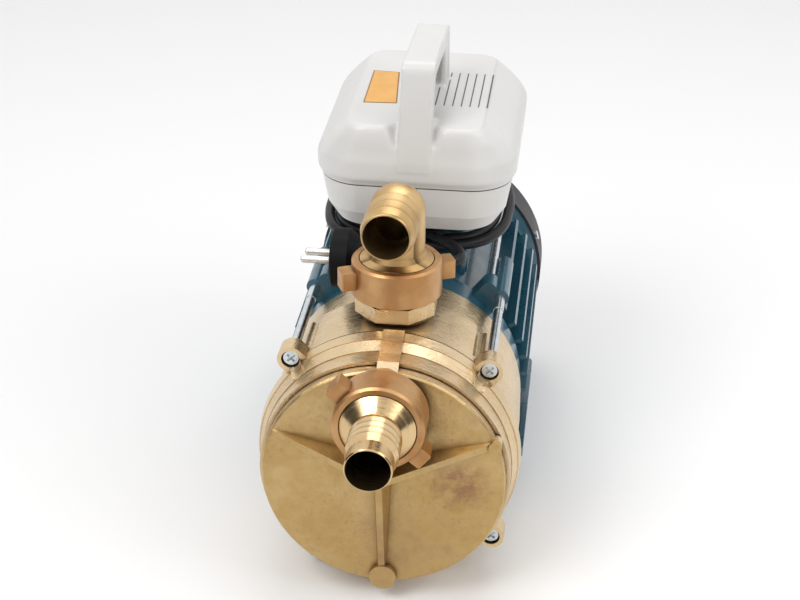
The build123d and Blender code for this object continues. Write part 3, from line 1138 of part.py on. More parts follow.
# Mains lead: from the gland over the fan cover into the winding, wound round the neck, and on to the plug
CORD_END_Y = GLAND_LINE.origin.Y + GLAND_LENGTH
COIL_Z = COIL_BOTTOM + COIL_HEIGHT / 2
COIL_LENGTH = COIL_REAR - COIL_FRONT
LEAD_ROUTE = [
    (GLAND_X, CORD_END_Y, SHAFT_Z + GLAND_Z),
    (GLAND_X, CORD_END_Y + 48, SHAFT_Z + GLAND_Z),
    (-16, CORD_END_Y + 58, SHAFT_Z + 98),
    (-44, CORD_END_Y + 22, SHAFT_Z + 84),
    (-47, FACE_Y + COIL_REAR - 14, SHAFT_Z + COIL_Z),
]
LEAD_RADII = [20.0, 18.0, 20.0]
PLUG_ROUTE = [
    (PLUG_TAIL_X, FACE_Y + PLUG_DEPTH, SHAFT_Z + PLUG_RISE),
    (33, FACE_Y + PLUG_DEPTH, SHAFT_Z + PLUG_RISE),
    (38, FACE_Y + PLUG_DEPTH + 18, SHAFT_Z + PLUG_RISE - 1),
    (16, FACE_Y + COIL_FRONT + 4, SHAFT_Z + COIL_Z + 1),
]
PLUG_RADII = [10.0, 12.0]


def cord_tube(route, radii):
    """Round cord along straight runs joined by tangent arcs."""
    with BuildPart() as tube:
        with BuildLine() as path:
            FilletPolyline(*route, radius=radii)
        with BuildSketch(Plane(origin=path.wire() @ 0, z_dir=path.wire() % 0)):
            Circle(CORD_R)
        sweep(path=path.wire())
    return tube.part


finish(cord_tube(LEAD_ROUTE, LEAD_RADII), "mains_lead")
finish(cord_tube(PLUG_ROUTE, PLUG_RADII), "plug_lead")

with BuildPart() as mains_coil:
    with BuildSketch(level(COIL_BOTTOM, depth=(COIL_FRONT + COIL_REAR) / 2)):
        RectangleRounded(2 * COIL_HALF_WIDTH, COIL_LENGTH, COIL_CORNER_R)
        RectangleRounded(2 * (COIL_HALF_WIDTH - COIL_WIDTH), COIL_LENGTH - 2 * COIL_WIDTH, COIL_CORNER_R - COIL_WIDTH,
                         mode=Mode.SUBTRACT)
    extrude(amount=COIL_HEIGHT)
finish(mains_coil.part, "mains_coil")

# Plug with two round pins, parked between the delivery joint and the box
PLUG_LINE = Plane(origin=(0, FACE_Y + PLUG_DEPTH, SHAFT_Z + PLUG_RISE), x_dir=(1, 0, 0), z_dir=(0, 0, 1))
PLUG_AXIS = Axis(PLUG_LINE.origin, (1, 0, 0))
with BuildPart() as mains_plug:
    revolve(outline([
        (PLUG_FACE_X, 0), (PLUG_FACE_X, PLUG_R - 1), (PLUG_FACE_X + 1, PLUG_R), (PLUG_FACE_X + 11, PLUG_R),
        (PLUG_FACE_X + 17, PLUG_R - 5), (PLUG_FACE_X + 26, 12.0), (PLUG_FACE_X + 34, 8.5), (PLUG_FACE_X + 40, 6.4),
        (PLUG_TAIL_X, CORD_R + 0.8), (PLUG_TAIL_X, 0)], PLUG_LINE), axis=PLUG_AXIS)
finish(mains_plug.part, "mains_plug")

with BuildPart() as plug_pins:
    for side in (1, -1):
        offset = Vector(0, cos(radians(PIN_ROLL)), sin(radians(PIN_ROLL))) * (side * PIN_SPACING / 2)
        with BuildSketch(Plane(origin=PLUG_LINE.origin + Vector(PLUG_FACE_X, 0, 0) + offset, z_dir=(-1, 0, 0))):
            Circle(PIN_R)
        extrude(amount=PIN_LENGTH)
    fillet(plug_pins.faces().sort_by(Axis.X)[:2].edges(), 1.2)
finish(plug_pins.part, "plug_pins")
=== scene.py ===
"""Electric transfer pump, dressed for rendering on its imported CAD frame.

Every length is in metres, in the frame of the CAD model: +Z up, +Y to the rear along the
shaft, the origin on the ground under the shaft at the centre of the foot's bolt pattern.
"""

from __future__ import annotations

import json
import logging
import math
from dataclasses import dataclass
from enum import Enum
from typing import Optional, Sequence

import bmesh
import bpy
from mathutils import Euler, Matrix, Vector

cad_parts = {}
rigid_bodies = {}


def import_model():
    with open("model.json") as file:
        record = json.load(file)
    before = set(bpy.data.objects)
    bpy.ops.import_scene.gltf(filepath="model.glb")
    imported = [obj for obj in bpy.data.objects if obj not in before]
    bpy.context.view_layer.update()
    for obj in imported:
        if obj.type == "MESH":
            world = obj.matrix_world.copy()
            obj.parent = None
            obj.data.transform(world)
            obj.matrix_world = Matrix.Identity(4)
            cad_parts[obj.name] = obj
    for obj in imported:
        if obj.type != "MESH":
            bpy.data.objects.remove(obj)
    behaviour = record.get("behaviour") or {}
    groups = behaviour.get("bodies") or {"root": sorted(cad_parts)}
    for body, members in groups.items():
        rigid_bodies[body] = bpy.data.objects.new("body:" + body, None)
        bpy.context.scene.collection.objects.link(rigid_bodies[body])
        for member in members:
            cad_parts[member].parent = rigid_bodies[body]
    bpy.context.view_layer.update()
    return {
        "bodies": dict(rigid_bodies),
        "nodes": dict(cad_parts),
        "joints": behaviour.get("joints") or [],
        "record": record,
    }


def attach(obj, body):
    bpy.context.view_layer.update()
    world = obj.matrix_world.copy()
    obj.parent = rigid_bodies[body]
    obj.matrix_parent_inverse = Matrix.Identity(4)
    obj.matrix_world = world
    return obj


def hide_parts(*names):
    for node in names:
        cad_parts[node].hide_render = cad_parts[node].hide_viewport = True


LOG = logging.getLogger("pump")
MM = 0.001

Colour = tuple[float, float, float]
Point = tuple[float, float, float]
Corner = tuple[float, float, float]
Panel = tuple[str, Point, Point, float, float]

# The pump face and the shaft line, as the CAD has them
FACE_Y = -0.245
SHAFT_Z = 0.088


class Lathe(Enum):
    """Axis that a piece was turned about, with the stretch of its tool marks."""

    X = (12, 1, 1)
    Y = (1, 12, 1)
    Z = (1, 1, 12)


class Joining(Enum):
    """How one solid is put together with another."""

    ADD = "UNION"
    CUT = "DIFFERENCE"


def mm(*values: float) -> Point:
    """Point of the CAD frame from millimetres behind the pump face and above the shaft.

    Args:
        values: x, depth behind the face, rise above the shaft.

    Returns:
        The point in metres in the CAD frame.
    """
    x, depth, rise = values
    return (x * MM, FACE_Y + depth * MM, SHAFT_Z + rise * MM)


@dataclass(frozen=True)
class Barbs:
    """Where a hose tail has its barbs and its bore, in millimetres along its axis, for the shade
    painted behind the barbs and inside the bore.

    Attributes:
        origin: where the axis starts, in metres.
        direction: which way it runs, towards the mouth.
        starts: where each barb starts.
        reach: how far the painted shade behind a barb goes.
        depth: brightness of the painted shade right behind a barb.
        bore: radius of the bore.
        mouth: where the bore opens.
        dark_bore: over how much of the bore, from the mouth in, the painted shade deepens to nearly
            black.
    """

    origin: Point
    direction: Point
    starts: tuple[float, ...]
    reach: float = 4.0
    depth: float = 0.22
    bore: float = 14.0
    mouth: float = 40.0
    dark_bore: float = 18.0


class Graph:
    """A material's node tree with short helpers for the nodes that the finishes share."""

    def __init__(self, name: str) -> None:
        """Starts a material with one Principled shader."""
        self.material = bpy.data.materials.new(name)
        self.material.use_nodes = True
        self.nodes = self.material.node_tree.nodes
        self.links = self.material.node_tree.links
        self.nodes.clear()
        self.output = self.nodes.new("ShaderNodeOutputMaterial")
        self.shader = self.nodes.new("ShaderNodeBsdfPrincipled")
        self.links.new(self.shader.outputs["BSDF"], self.output.inputs["Surface"])
        self.coordinates = self.nodes.new("ShaderNodeTexCoord")

    def set(self, **values: object) -> None:
        """Sets sockets of the shader by name, with underscores for spaces."""
        for name, value in values.items():
            self.shader.inputs[name.replace("_", " ")].default_value = value

    def noise(
        self, scale: float, detail: float = 3.0, stretch: Point = (1, 1, 1), roughness: float = 0.5
    ) -> object:
        """Adds noise on object coordinates.

        Args:
            scale: cells to the metre.
            detail: octaves.
            stretch: scale along each axis.
            roughness: weight of the finer octaves.

        Returns:
            The noise's factor socket.
        """
        mapping = self.nodes.new("ShaderNodeMapping")
        mapping.inputs["Scale"].default_value = stretch
        self.links.new(self.coordinates.outputs["Object"], mapping.inputs["Vector"])
        node = self.nodes.new("ShaderNodeTexNoise")
        node.inputs["Scale"].default_value = scale
        node.inputs["Detail"].default_value = detail
        node.inputs["Roughness"].default_value = roughness
        self.links.new(mapping.outputs["Vector"], node.inputs["Vector"])
        return node.outputs["Fac"]

    def ramp(
        self, factor: object, low: float, high: float, start: float = 0.0, end: float = 1.0
    ) -> object:
        """Maps a factor between two limits to two values, held beyond them.

        Args:
            factor: the socket to map.
            low: factor that gives start.
            high: factor that gives end.
            start: value up to low.
            end: value from high on.

        Returns:
            The mapped socket.
        """
        node = self.nodes.new("ShaderNodeMapRange")
        limits = {"From Min": low, "From Max": high, "To Min": start, "To Max": end}
        for name, value in limits.items():
            node.inputs[name].default_value = value
        self.links.new(factor, node.inputs["Value"])
        return node.outputs["Result"]

    def mix(self, factor: object, first: object, second: object) -> object:
        """Mixes two colours by a factor.

        Args:
            factor: nought for the first colour and one for the second.
            first: a colour or a colour socket.
            second: a colour or a colour socket.

        Returns:
            The mixed colour socket.
        """
        node = self.nodes.new("ShaderNodeMix")
        node.data_type = "RGBA"
        self.links.new(factor, node.inputs["Factor"])
        for name, value in (("A", first), ("B", second)):
            socket = next(s for s in node.inputs if s.name == name and s.type == "RGBA")
            if isinstance(value, tuple):
                socket.default_value = (*value, 1.0)
            else:
                self.links.new(value, socket)
        return next(s for s in node.outputs if s.type == "RGBA")

    def math(self, operation: str, first: object, second: object = 0.0) -> object:
        """Joins two numbers by an operation.

        Args:
            operation: Blender's name of it.
            first: a number or a socket.
            second: a number or a socket.

        Returns:
            The result's socket.
        """
        node = self.nodes.new("ShaderNodeMath")
        node.operation = operation
        for socket, value in zip(node.inputs, (first, second)):
            if isinstance(value, (int, float)):
                socket.default_value = value
            else:
                self.links.new(value, socket)
        return node.outputs["Value"]

    def axis(self, name: str) -> object:
        """Gives one object coordinate.

        Args:
            name: X, Y or Z.

        Returns:
            The coordinate's socket.
        """
        node = self.nodes.new("ShaderNodeSeparateXYZ")
        self.links.new(self.coordinates.outputs["Object"], node.inputs["Vector"])
        return node.outputs[name]

    def near(self, centre: Point, size: float) -> object:
        """Gives one at a point and nought beyond a distance.

        Args:
            centre: the point in metres.
            size: the distance in millimetres.

        Returns:
            The socket.
        """
        away = self.vector("DISTANCE", self.coordinates.outputs["Object"], centre)
        return self.ramp(away.outputs["Value"], 0.3 * size * MM, size * MM, 1.0, 0.0)

    def bump(self, height: object, distance: float, strength: float = 1.0) -> None:
        """Puts a height on the shader's normal, on top of any bump already there.

        Args:
            height: the socket that gives the height.
            distance: height of one, in metres.
            strength: how much of the bump shows.
        """
        node = self.nodes.new("ShaderNodeBump")
        node.inputs["Distance"].default_value = distance
        node.inputs["Strength"].default_value = strength
        self.links.new(height, node.inputs["Height"])
        normal = self.shader.inputs["Normal"]
        if normal.links:
            self.links.new(normal.links[0].from_socket, node.inputs["Normal"])
        self.links.new(node.outputs["Normal"], normal)

    def open_sky(self, reach: float, low: float = 0.0, high: float = 0.8) -> object:
        """Gives one where a surface is open and nought deep in a crevice.

        Args:
            reach: how far away the walls of a crevice may be, in metres.
            low: share of open sky that counts as nought.
            high: share of open sky that counts as one.

        Returns:
            The socket.
        """
        node = self.nodes.new("ShaderNodeAmbientOcclusion")
        node.samples = 8
        node.inputs["Distance"].default_value = reach
        return self.ramp(node.outputs["AO"], low, high)

    def vector(self, operation: str, first: object, second: object) -> bpy.types.Node:
        """Joins two vectors by an operation.

        Args:
            operation: Blender's name of it.
            first: the socket of the first vector.
            second: the socket of the second vector, or a point.

        Returns:
            The node, whose output depends on the operation.
        """
        node = self.nodes.new("ShaderNodeVectorMath")
        node.operation = operation
        self.links.new(first, node.inputs[0])
        if isinstance(second, tuple):
            node.inputs[1].default_value = second
        else:
            self.links.new(second, node.inputs[1])
        return node

    def behind_barbs(self, barbs: Barbs) -> object:
        """Paints shade into the colour in the lee of each barb and inside the bore.

        Args:
            barbs: the hose tail's barbs and bore.

        Returns:
            A socket with one on open metal and less where shade is painted.
        """
        away = self.vector("SUBTRACT", self.coordinates.outputs["Object"], barbs.origin)
        along = self.vector("DOT_PRODUCT", away.outputs["Vector"], barbs.direction).outputs["Value"]
        # painted shade behind each barb, darkest right behind its start
        barb_shade: object = 1.0
        for start in barbs.starts:
            gap = self.math("SUBTRACT", start * MM, along)
            rise = self.ramp(gap, 0.0, barbs.reach * MM, barbs.depth, 1.0)
            fall = self.ramp(gap, -0.5 * MM, 0.0, 1.0, barbs.depth)
            barb_shade = self.math("MULTIPLY", barb_shade, self.math("MAXIMUM", rise, fall))
        axis_point = self.nodes.new("ShaderNodeVectorMath")
        axis_point.operation = "SCALE"
        axis_point.inputs[0].default_value = barbs.direction
        self.links.new(along, axis_point.inputs["Scale"])
        arm = self.vector("DISTANCE", away.outputs["Vector"], axis_point.outputs["Vector"])
        skin = self.ramp(arm.outputs["Value"], (barbs.bore + 0.1) * MM, (barbs.bore + 0.4) * MM)
        outside = self.math("MAXIMUM", skin, self.ramp(along, 0.0, 2 * MM, 1.0, 0.0))
        # painted shade inside the bore, darkest deepest in
        deep = (barbs.mouth - barbs.dark_bore) * MM
        inside = self.ramp(along, deep, barbs.mouth * MM, 0.03, 0.5)
        in_bore = self.math("MULTIPLY", inside, self.math("SUBTRACT", 1.0, outside))
        return self.math("ADD", self.math("MULTIPLY", barb_shade, outside), in_bore)

    def feed(self, name: str, socket: object) -> None:
        """Links a socket to one of the shader's inputs."""
        self.links.new(socket, self.shader.inputs[name])


@dataclass(frozen=True)
class CastBrass:
    """Sand-cast yellow brass, brighter where it was turned."""

    name: str = "cast brass"
    cast: Colour = (0.47, 0.31, 0.115)
    worn: Colour = (0.56, 0.40, 0.19)
    stain: Colour = (0.33, 0.20, 0.10)
    turned: Colour = (0.74, 0.57, 0.36)
    # painted shade: the dark colour that crevices take on in place of their shade
    painted_crevice_shade: Colour = (0.10, 0.055, 0.022)
    red_stain: Colour = (0.30, 0.15, 0.09)
    stain_centre: Point = mm(48.0, 0.0, 0.0)
    stain_size: float = 22.0
    face_depth: float = 2.0

    def build(self) -> bpy.types.Material:
        """Makes the material.

        Returns:
            The material, cast on the pump's face and neck and turned on its rims, with shade
            painted into its crevices.
        """
        graph = Graph(self.name)
        rim = graph.ramp(graph.axis("Y"), FACE_Y + 0.4 * MM, FACE_Y + self.face_depth * MM)
        metal = graph.mix(rim, self._cast_skin(graph), self._turned_skin(graph))
        # painted shade: the colour goes dark where ambient occlusion finds walls within 9 mm
        graph.feed("Base Color", graph.mix(graph.open_sky(9 * MM, 0.2, 0.8), self.painted_crevice_shade, metal))
        grain = graph.ramp(graph.noise(160.0, 4.0), 0.3, 0.7, 0.36, 0.56)
        smooth = graph.ramp(graph.noise(60.0, 2.0, Lathe.Y.value), 0.3, 0.7, 0.24, 0.36)
        rough_cast = graph.math("MULTIPLY", grain, graph.math("SUBTRACT", 1.0, rim))
        rough_turned = graph.math("MULTIPLY", smooth, rim)
        graph.feed("Roughness", graph.math("ADD", rough_cast, rough_turned))
        graph.bump(graph.noise(900.0, 3.0), 0.00025, 0.5)
        graph.bump(graph.noise(210.0, 4.0, roughness=0.6), 0.0011, 0.42)
        graph.set(Metallic=0.92)
        return graph.material

    def _cast_skin(self, graph: Graph) -> object:
        """Colour of the cast skin.

        Args:
            graph: the material's nodes.

        Returns:
            The colour socket: worn blotches, dark specks, stains and one red stain.
        """
        blotch = graph.ramp(graph.noise(26.0, 8.0, roughness=0.72), 0.36, 0.64)
        skin = graph.mix(blotch, self.cast, self.worn)
        specks = graph.ramp(graph.noise(330.0, 4.0, roughness=0.7), 0.54, 0.68, 0.0, 0.6)
        specked = graph.ramp(graph.noise(30.0, 4.0), 0.42, 0.6)
        skin = graph.mix(graph.math("MULTIPLY", specks, specked), skin, self.stain)
        stains = graph.ramp(graph.noise(13.0, 6.0, roughness=0.7), 0.56, 0.72, 0.0, 0.75)
        skin = graph.mix(stains, skin, self.stain)
        spot = graph.near(self.stain_centre, self.stain_size)
        patchy = graph.ramp(graph.noise(170.0, 5.0, roughness=0.65), 0.4, 0.6, 0.15, 0.8)
        return graph.mix(graph.math("MULTIPLY", spot, patchy), skin, self.red_stain)

    def _turned_skin(self, graph: Graph) -> object:
        """Colour of the turned rims, with a light haze."""
        haze = graph.ramp(graph.noise(34.0, 3.0), 0.35, 0.7, 0.0, 0.45)
        return graph.mix(haze, self.turned, self.worn)


@dataclass(frozen=True)
class TurnedMetal:
    """Metal turned on a lathe, with fine rings across its axis."""

    name: str
    bright: Colour
    dull: Colour
    axis: Lathe
    rough: tuple[float, float] = (0.2, 0.34)
    ring_scale: float = 900.0
    # barbs: where to paint shade behind the barbs and inside the bore
    barbs: Optional[Barbs] = None

    def build(self) -> bpy.types.Material:
        """Makes the material.

        Returns:
            The material.
        """
        graph = Graph(self.name)
        patch = graph.ramp(graph.noise(40.0, 4.0), 0.35, 0.7)
        # painted shade: the colour darkens towards an eighth of the dull tone in crevices within 14
        # mm and, where barbs are given, behind them and inside the bore
        dark = tuple(0.12 * value for value in self.dull)
        sky = graph.open_sky(14 * MM, 0.2, 0.85)
        if self.barbs is not None:
            sky = graph.math("MULTIPLY", sky, graph.behind_barbs(self.barbs))
        graph.feed("Base Color", graph.mix(sky, dark, graph.mix(patch, self.bright, self.dull)))
        marks = self.axis.value
        graph.feed("Roughness", graph.ramp(graph.noise(55.0, 3.0, marks), 0.3, 0.7, *self.rough))
        graph.bump(graph.noise(self.ring_scale / max(marks), 2.0, marks), 0.00012, 0.5)
        graph.set(Metallic=0.95)
        return graph.material


@dataclass(frozen=True)
class ForgedBronze:
    """Hot-pressed reddish brass with a fine matte skin."""

    name: str
    skin: Colour = (0.43, 0.22, 0.085)
    rubbed: Colour = (0.56, 0.33, 0.15)
    shade: Colour = (0.30, 0.14, 0.05)
    # reach: how far the painted crevice shade reaches, in millimetres
    reach: float = 6.0
    barbs: Optional[Barbs] = None

    def build(self) -> bpy.types.Material:
        """Makes the material.

        Returns:
            The material.
        """
        graph = Graph(self.name)
        patch = graph.ramp(graph.noise(45.0, 5.0), 0.36, 0.66)
        colour = graph.mix(patch, self.skin, self.rubbed)
        dark = graph.ramp(graph.noise(24.0, 4.0), 0.58, 0.75, 0.0, 0.6)
        # painted shade: the colour darkens towards a fifth of the shade colour in crevices within
        # the reach and, where barbs are given, behind them and inside the bore
        painted_crevice_shade = tuple(0.2 * value for value in self.shade)
        sky = graph.open_sky(self.reach * MM, 0.25, 0.85)
        if self.barbs is not None:
            sky = graph.math("MULTIPLY", sky, graph.behind_barbs(self.barbs))
        graph.feed("Base Color", graph.mix(sky, painted_crevice_shade, graph.mix(dark, colour, self.shade)))
        graph.feed("Roughness", graph.ramp(graph.noise(120.0, 3.0), 0.3, 0.7, 0.3, 0.46))
        graph.bump(graph.noise(1100.0, 2.0), 0.0002, 0.3)
        graph.set(Metallic=0.9)
        return graph.material


@dataclass(frozen=True)
class Enamel:
    """Thick enamel on cast metal, glossy with a slight orange peel."""

    name: str
    colour: Colour
    edge: Colour
    rough: float = 0.3

    def build(self) -> bpy.types.Material:
        """Makes the material.

        Returns:
            The material.
        """
        graph = Graph(self.name)
        patch = graph.ramp(graph.noise(30.0, 4.0), 0.3, 0.75)
        graph.feed("Base Color", graph.mix(patch, self.colour, self.edge))
        gloss = graph.ramp(graph.noise(90.0, 3.0), 0.3, 0.7, self.rough - 0.06, self.rough + 0.1)
        graph.feed("Roughness", gloss)
        graph.bump(graph.noise(330.0, 2.0), 0.0005, 0.22)
        graph.set(Coat_Weight=0.5, Coat_Roughness=0.12, Specular_IOR_Level=0.55)
        return graph.material


@dataclass(frozen=True)
class Plastic:
    """Moulded plastic with a fine skin."""

    name: str
    colour: Colour
    shade: Colour
    rough: float = 0.42
    grain: float = 1500.0
    depth: float = 0.00008
    coat: float = 0.0
    shine: float = 0.5

    def build(self) -> bpy.types.Material:
        """Makes the material.

        Returns:
            The material.
        """
        graph = Graph(self.name)
        patch = graph.ramp(graph.noise(18.0, 3.0), 0.3, 0.75)
        graph.feed("Base Color", graph.mix(patch, self.colour, self.shade))
        gloss = graph.ramp(graph.noise(70.0, 3.0), 0.3, 0.7, self.rough - 0.05, self.rough + 0.05)
        graph.feed("Roughness", gloss)
        graph.bump(graph.noise(self.grain, 2.0), self.depth, 0.4)
        graph.set(Coat_Weight=self.coat, Coat_Roughness=0.2, Specular_IOR_Level=self.shine)
        return graph.material


@dataclass(frozen=True)
class ZincPlate:
    """Bright zinc on steel, with a faint cloudy film."""

    name: str = "bright zinc"
    colour: Colour = (0.66, 0.70, 0.73)
    film: Colour = (0.56, 0.60, 0.62)

    def build(self) -> bpy.types.Material:
        """Makes the material.

        Returns:
            The material.
        """
        graph = Graph(self.name)
        cloud = graph.ramp(graph.noise(140.0, 4.0), 0.35, 0.7)
        graph.feed("Base Color", graph.mix(cloud, self.colour, self.film))
        graph.feed("Roughness", graph.ramp(graph.noise(90.0, 2.0), 0.3, 0.7, 0.2, 0.28))
        graph.set(Metallic=1.0)
        return graph.material


@dataclass(frozen=True)
class PrintedFilm:
    """Plain printed film with a darker border line and no words."""

    name: str
    colour: Colour
    border: Colour

    def build(self) -> bpy.types.Material:
        """Makes the material.

        Returns:
            The material.
        """
        graph = Graph(self.name)
        patch = graph.ramp(graph.noise(60.0, 3.0), 0.3, 0.7)
        graph.feed("Base Color", graph.mix(patch, self.colour, self.border))
        graph.feed("Roughness", graph.ramp(graph.noise(200.0, 2.0), 0.3, 0.7, 0.34, 0.46))
        graph.bump(graph.noise(1200.0, 2.0), 0.00004, 0.3)
        return graph.material


class Wardrobe:
    """All finishes of the pump and which CAD node wears which."""

    def __init__(self) -> None:
        """Builds every finish once."""
        self._metals()
        self._plastics()
        self.film = PrintedFilm("orange film", (0.80, 0.42, 0.09), (0.72, 0.36, 0.07)).build()
        self.film_frame = PrintedFilm(
            "orange film frame", (0.22, 0.09, 0.02), (0.3, 0.13, 0.03)
        ).build()

    def _metals(self) -> None:
        """Builds the brass, bronze, steel, zinc, nickel and copper."""
        # The barbs and bores below only place the painted shade in the colours of the hose tail and
        # the elbow.
        tail_barbs = Barbs(
            origin=mm(0.0, 0.0, 51.5), direction=(0.0, -1.0, 0.0), starts=(38.0, 44.0, 50.0, 56.0),
            reach=3.4, depth=0.3, bore=13.2, mouth=73.0, dark_bore=30.0,
        )
        elbow_barbs = Barbs(
            origin=mm(0.0, 66.0, 150.4), direction=(-0.0593, -0.99824, 0.0),
            starts=(11.8, 21.8, 31.8), reach=4.5, depth=0.2,
        )
        self.cast = CastBrass().build()
        self.tail = TurnedMetal(
            "turned brass tail", (0.72, 0.53, 0.29), (0.6, 0.4, 0.19), Lathe.Y, (0.16, 0.28),
            barbs=tail_barbs,
        ).build()
        self.inner = TurnedMetal(
            "turned brass inside", (0.66, 0.5, 0.27), (0.5, 0.35, 0.16), Lathe.Y
        ).build()
        self.bronze = ForgedBronze("pressed bronze").build()
        # the elbow's painted crevice shade reaches 16 mm
        self.elbow = ForgedBronze(
            "pressed yellow bronze", skin=(0.50, 0.31, 0.125), rubbed=(0.63, 0.44, 0.21),
            shade=(0.30, 0.16, 0.06), reach=16.0, barbs=elbow_barbs,
        ).build()
        self.zinc = ZincPlate().build()
        self.steel = TurnedMetal(
            "ground steel", (0.5, 0.5, 0.5), (0.4, 0.4, 0.4), Lathe.Y, (0.28, 0.4)
        ).build()
        self.nickel = TurnedMetal(
            "nickel pin", (0.72, 0.70, 0.66), (0.6, 0.58, 0.53), Lathe.X, (0.14, 0.26)
        ).build()
        self.copper = TurnedMetal(
            "enamelled copper", (0.45, 0.2, 0.08), (0.35, 0.15, 0.06), Lathe.Y, (0.3, 0.45)
        ).build()

    def _plastics(self) -> None:
        """Builds the enamel, the plastics, the rubber and the ink."""
        self.enamel = Enamel("teal enamel", (0.012, 0.075, 0.115), (0.02, 0.10, 0.145)).build()
        self.cover = Plastic(
            "dark cover", (0.028, 0.027, 0.031), (0.042, 0.04, 0.046), rough=0.5, grain=700.0,
            depth=0.0002, shine=0.35,
        ).build()
        self.white = Plastic(
            "white housing", (0.635, 0.625, 0.605), (0.66, 0.655, 0.64), rough=0.34,
            grain=1600.0, depth=0.00005, coat=0.15,
        ).build()
        self.rubber = Plastic(
            "black rubber", (0.006, 0.006, 0.006), (0.01, 0.01, 0.01), rough=0.62, shine=0.25
        ).build()
        self.cable = Plastic(
            "black cable", (0.006, 0.006, 0.008), (0.011, 0.011, 0.013), grain=900.0,
            depth=0.0001, shine=0.3,
        ).build()
        self.plug = Plastic(
            "black plug", (0.004, 0.004, 0.005), (0.007, 0.007, 0.008), rough=0.5,
            grain=1000.0, depth=0.0001, shine=0.12,
        ).build()
        self.cream = Plastic("cream plastic", (0.6, 0.57, 0.46), (0.55, 0.52, 0.42), 0.5).build()
        self.grey = Plastic("grey can", (0.35, 0.36, 0.37), (0.3, 0.31, 0.32), 0.45).build()
        self.ink = Plastic("printing ink", (0.05, 0.05, 0.052), (0.08, 0.08, 0.083), 0.5).build()

    def by_slot(self) -> dict[str, bpy.types.Material]:
        """Gives the finish for each material slot of the record."""
        return {
            "cast_brass": self.cast,
            "machined_brass": self.inner,
            "bronze": self.bronze,
            "zinc_steel": self.zinc,
            "bare_steel": self.steel,
            "motor_paint": self.enamel,
            "cover_black": self.cover,
            "housing_white": self.white,
            "rubber_black": self.rubber,
            "cable_black": self.cable,
            "plug_black": self.plug,
            "pin_nickel": self.nickel,
            "copper": self.copper,
            "cream_plastic": self.cream,
            "capacitor_grey": self.grey,
            "label_orange": self.film,
        }

    def dress(self, frame: dict) -> None:
        """Puts the finishes on the CAD nodes.
        """
        slots = self.by_slot()
        special = {"suction_hose_tail": self.tail, "delivery_elbow": self.elbow}
        for part in frame["record"]["subparts"]:
            node = frame["nodes"][part["node"]]
            finish = special.get(part["node"], slots[part["material_slot"]])
            node.data.materials.clear()
            node.data.materials.append(finish)
        LOG.info("dressed %d CAD nodes", len(frame["nodes"]))


class Repeater:
    """Geometry Nodes that set one piece out along a line, such as the rules of a table."""

    def __init__(self, name: str) -> None:
        """Builds the tree.

        Args:
            name: name of the node tree.
        """
        self.tree = bpy.data.node_groups.new(name, "GeometryNodeTree")
        self.sockets: dict[str, str] = {}
        for label, kind in (
            ("Piece", "NodeSocketObject"),
            ("Count", "NodeSocketInt"),
            ("Spacing", "NodeSocketFloat"),
            ("Finish", "NodeSocketMaterial"),
        ):
            socket = self.tree.interface.new_socket(label, in_out="INPUT", socket_type=kind)
            self.sockets[label] = socket.identifier
        self.tree.interface.new_socket(
            "Geometry", in_out="OUTPUT", socket_type="NodeSocketGeometry"
        )
        given = self.tree.nodes.new("NodeGroupInput")
        piece = self._node("GeometryNodeObjectInfo", Object=given.outputs["Piece"])
        step = self._node("ShaderNodeCombineXYZ", X=given.outputs["Spacing"])
        line = self._node(
            "GeometryNodeMeshLine", Count=given.outputs["Count"], Offset=step.outputs["Vector"]
        )
        spread = self._node(
            "GeometryNodeInstanceOnPoints",
            Points=line.outputs["Mesh"],
            Instance=piece.outputs["Geometry"],
        )
        real = self._node("GeometryNodeRealizeInstances", Geometry=spread.outputs["Instances"])
        dressed = self._node(
            "GeometryNodeSetMaterial",
            Geometry=real.outputs["Geometry"],
            Material=given.outputs["Finish"],
        )
        result = self.tree.nodes.new("NodeGroupOutput")
        self.tree.links.new(dressed.outputs["Geometry"], result.inputs["Geometry"])

    def _node(self, kind: str, **links: object) -> bpy.types.Node:
        """Adds a node.

        Args:
            kind: Blender's name of the node.
            links: the socket for each input, by the input's name.

        Returns:
            The node.
        """
        node = self.tree.nodes.new(kind)
        for name, socket in links.items():
            self.tree.links.new(socket, node.inputs[name])
        return node

    def make(
        self,
        name: str,
        piece: bpy.types.Object,
        count: int,
        spacing: float,
        finish: bpy.types.Material,
        start: Point,
    ) -> bpy.types.Object:
        """Makes one mesh of the repeated piece and removes the piece.

        Args:
            name: name of the new object.
            piece: what is repeated, built round its own origin.
            count: how many.
            spacing: pitch of the line, in metres.
            finish: material of the result.
            start: where the line starts.

        Returns:
            The object, its mesh in place and its origin at the world's.
        """
        holder = bpy.data.objects.new(name, bpy.data.meshes.new(name))
        bpy.context.scene.collection.objects.link(holder)
        modifier = holder.modifiers.new("repeat", "NODES")
        modifier.node_group = self.tree
        inputs = {"Piece": piece, "Count": count, "Spacing": spacing, "Finish": finish}
        for label, value in inputs.items():
            modifier[self.sockets[label]] = value
        holder.data = baked(holder)
        holder.data.transform(Matrix.Translation(start))
        bpy.data.objects.remove(piece)
        return holder


def baked(thing: bpy.types.Object) -> bpy.types.Mesh:
    """Makes a plain mesh of an object with its modifiers and takes them off.

    Args:
        thing: the object.

    Returns:
        The new mesh.
    """
    bpy.context.view_layer.update()
    evaluated = thing.evaluated_get(bpy.context.evaluated_depsgraph_get())
    mesh = bpy.data.meshes.new_from_object(evaluated)
    mesh.name = thing.name
    thing.modifiers.clear()
    return mesh


